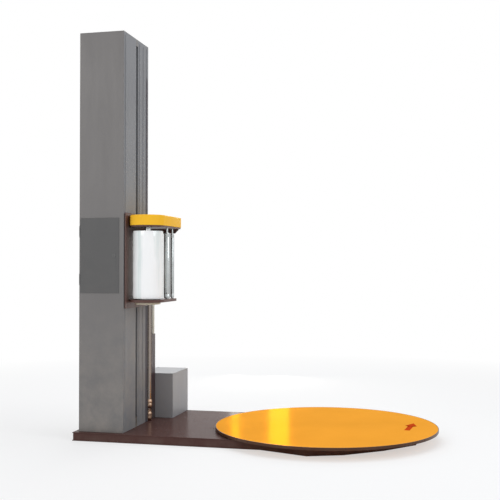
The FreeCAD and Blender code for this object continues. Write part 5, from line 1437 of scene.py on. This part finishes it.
# ======================================================================================
# Pre-stretch rollers and their toothed belt
# Two plated steel rollers turn in the carriage's plates. Above the top plate a toothed
# belt ties them, so that the outer one runs slower and the film is stretched between them.
# ======================================================================================
plate_low, plate_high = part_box("carriage_top_plate")
tray_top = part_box("carriage_bottom_plate")[1].z
PLATE_GAP = 0.0003
COLLAR_HIGH = 0.005
COLLAR_WIDE = 0.003
TURNED_LINE = 0.0004
PULLEY_LIFT = 0.008
PULLEY_HIGH = 0.012
FLANGE = 0.0008
TOOTH_PITCH = 0.005
TOOTH_DEEP = 0.0015


def film_roller(name, body, barrel_r, shaft_r, pulley_r):
    """Roller turned about its own axis: a barrel with chamfered end caps and a turned line near
    each end, a collar at each plate, the shaft through both, and a toothed pulley between two
    flanges. The barrel's profile is given for one end and mirrored about its middle."""
    low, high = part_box(name)
    centre = np.array(joints[name + "_spin"]["pos_m"]) * (1, 1, 0)
    z0 = tray_top + PLATE_GAP
    z1 = plate_low.z - PLATE_GAP
    end = [(shaft_r, 0.0), (shaft_r + COLLAR_WIDE, 0.0), (shaft_r + COLLAR_WIDE, COLLAR_HIGH)]
    end += [(r, COLLAR_HIGH + h)
            for r, h in ((barrel_r * 0.86, 0.0), (barrel_r * 0.88, 0.003), (barrel_r - 0.0012, 0.003),
                         (barrel_r, 0.0045), (barrel_r, 0.030), (barrel_r - TURNED_LINE, 0.031),
                         (barrel_r, 0.032))]
    profile = [(shaft_r, low.z), *[(r, z0 + h) for r, h in end], *[(r, z1 - h) for r, h in end[::-1]],
               (shaft_r, high.z - 0.001), (shaft_r - 0.001, high.z)]
    piece(name + "_barrel", [lathe(profile, centre, (0, 0, 1), 64)], roller_chrome, body, [name])
    foot = plate_high.z + PULLEY_LIFT
    top = foot + PULLEY_HIGH
    teeth = max(10, round(2 * math.pi * pulley_r / TOOTH_PITCH))
    wave = np.linspace(0.0, 2 * math.pi, teeth * 4, endpoint=False)
    step = np.tile([pulley_r, pulley_r, pulley_r - TOOTH_DEEP, pulley_r - TOOTH_DEEP], teeth)
    ring = np.stack([centre[0] + step * np.cos(wave), centre[1] - step * np.sin(wave)], -1)
    toothed = slab_between(ring, foot + FLANGE, top - FLANGE)
    flanges = [disc(centre, (0, 0, 1), pulley_r + 0.0003, z, z + FLANGE, 0.0002, 40)
               for z in (foot, top - FLANGE)]
    piece(name + "_pulley", [toothed] + flanges, pulley_steel, body)


roller_chrome = chrome("roller plating", "bcc0c0", 0.20, 0.16, "4c5152")
pulley_steel = machined_metal("pulley steel", "8b8a86", 0.4, oil=0.4)
film_roller("stretch_roller", "stretch", 0.024, 0.008, 0.026)
film_roller("guide_roller", "guide", 0.014, 0.006, 0.010)

belt_low, belt_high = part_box("stretch_belt")
big = np.array(joints["stretch_roller_spin"]["pos_m"])[:2]
small = np.array(joints["guide_roller_spin"]["pos_m"])[:2]
BIG_R = 0.0265
SMALL_R = 0.0105
BELT_BACK = 0.0035
BELT_TOOTH = 0.0011
BELT_TEETH = 120
places, headings = along_loop(small, SMALL_R, big, BIG_R, BELT_TEETH * 2)
outward_way = np.stack([-np.sin(headings), np.cos(headings)], -1)
depth = np.where(np.arange(BELT_TEETH * 2) % 2 == 0, 0.0, BELT_TOOTH)[:, None]
inner_line = places + outward_way * depth
outer_line = places + outward_way * BELT_BACK
belt_rings = np.stack([at_height(inner_line, belt_low.z), at_height(inner_line, belt_high.z),
                       at_height(outer_line, belt_high.z), at_height(outer_line, belt_low.z)], axis=1)
belt_rubber = moulded("belt rubber", "232323", 0.6, scuffs=0.2)
piece("toothed_belt", [skin(belt_rings, wrap=True)], belt_rubber, "carriage", ["stretch_belt"])
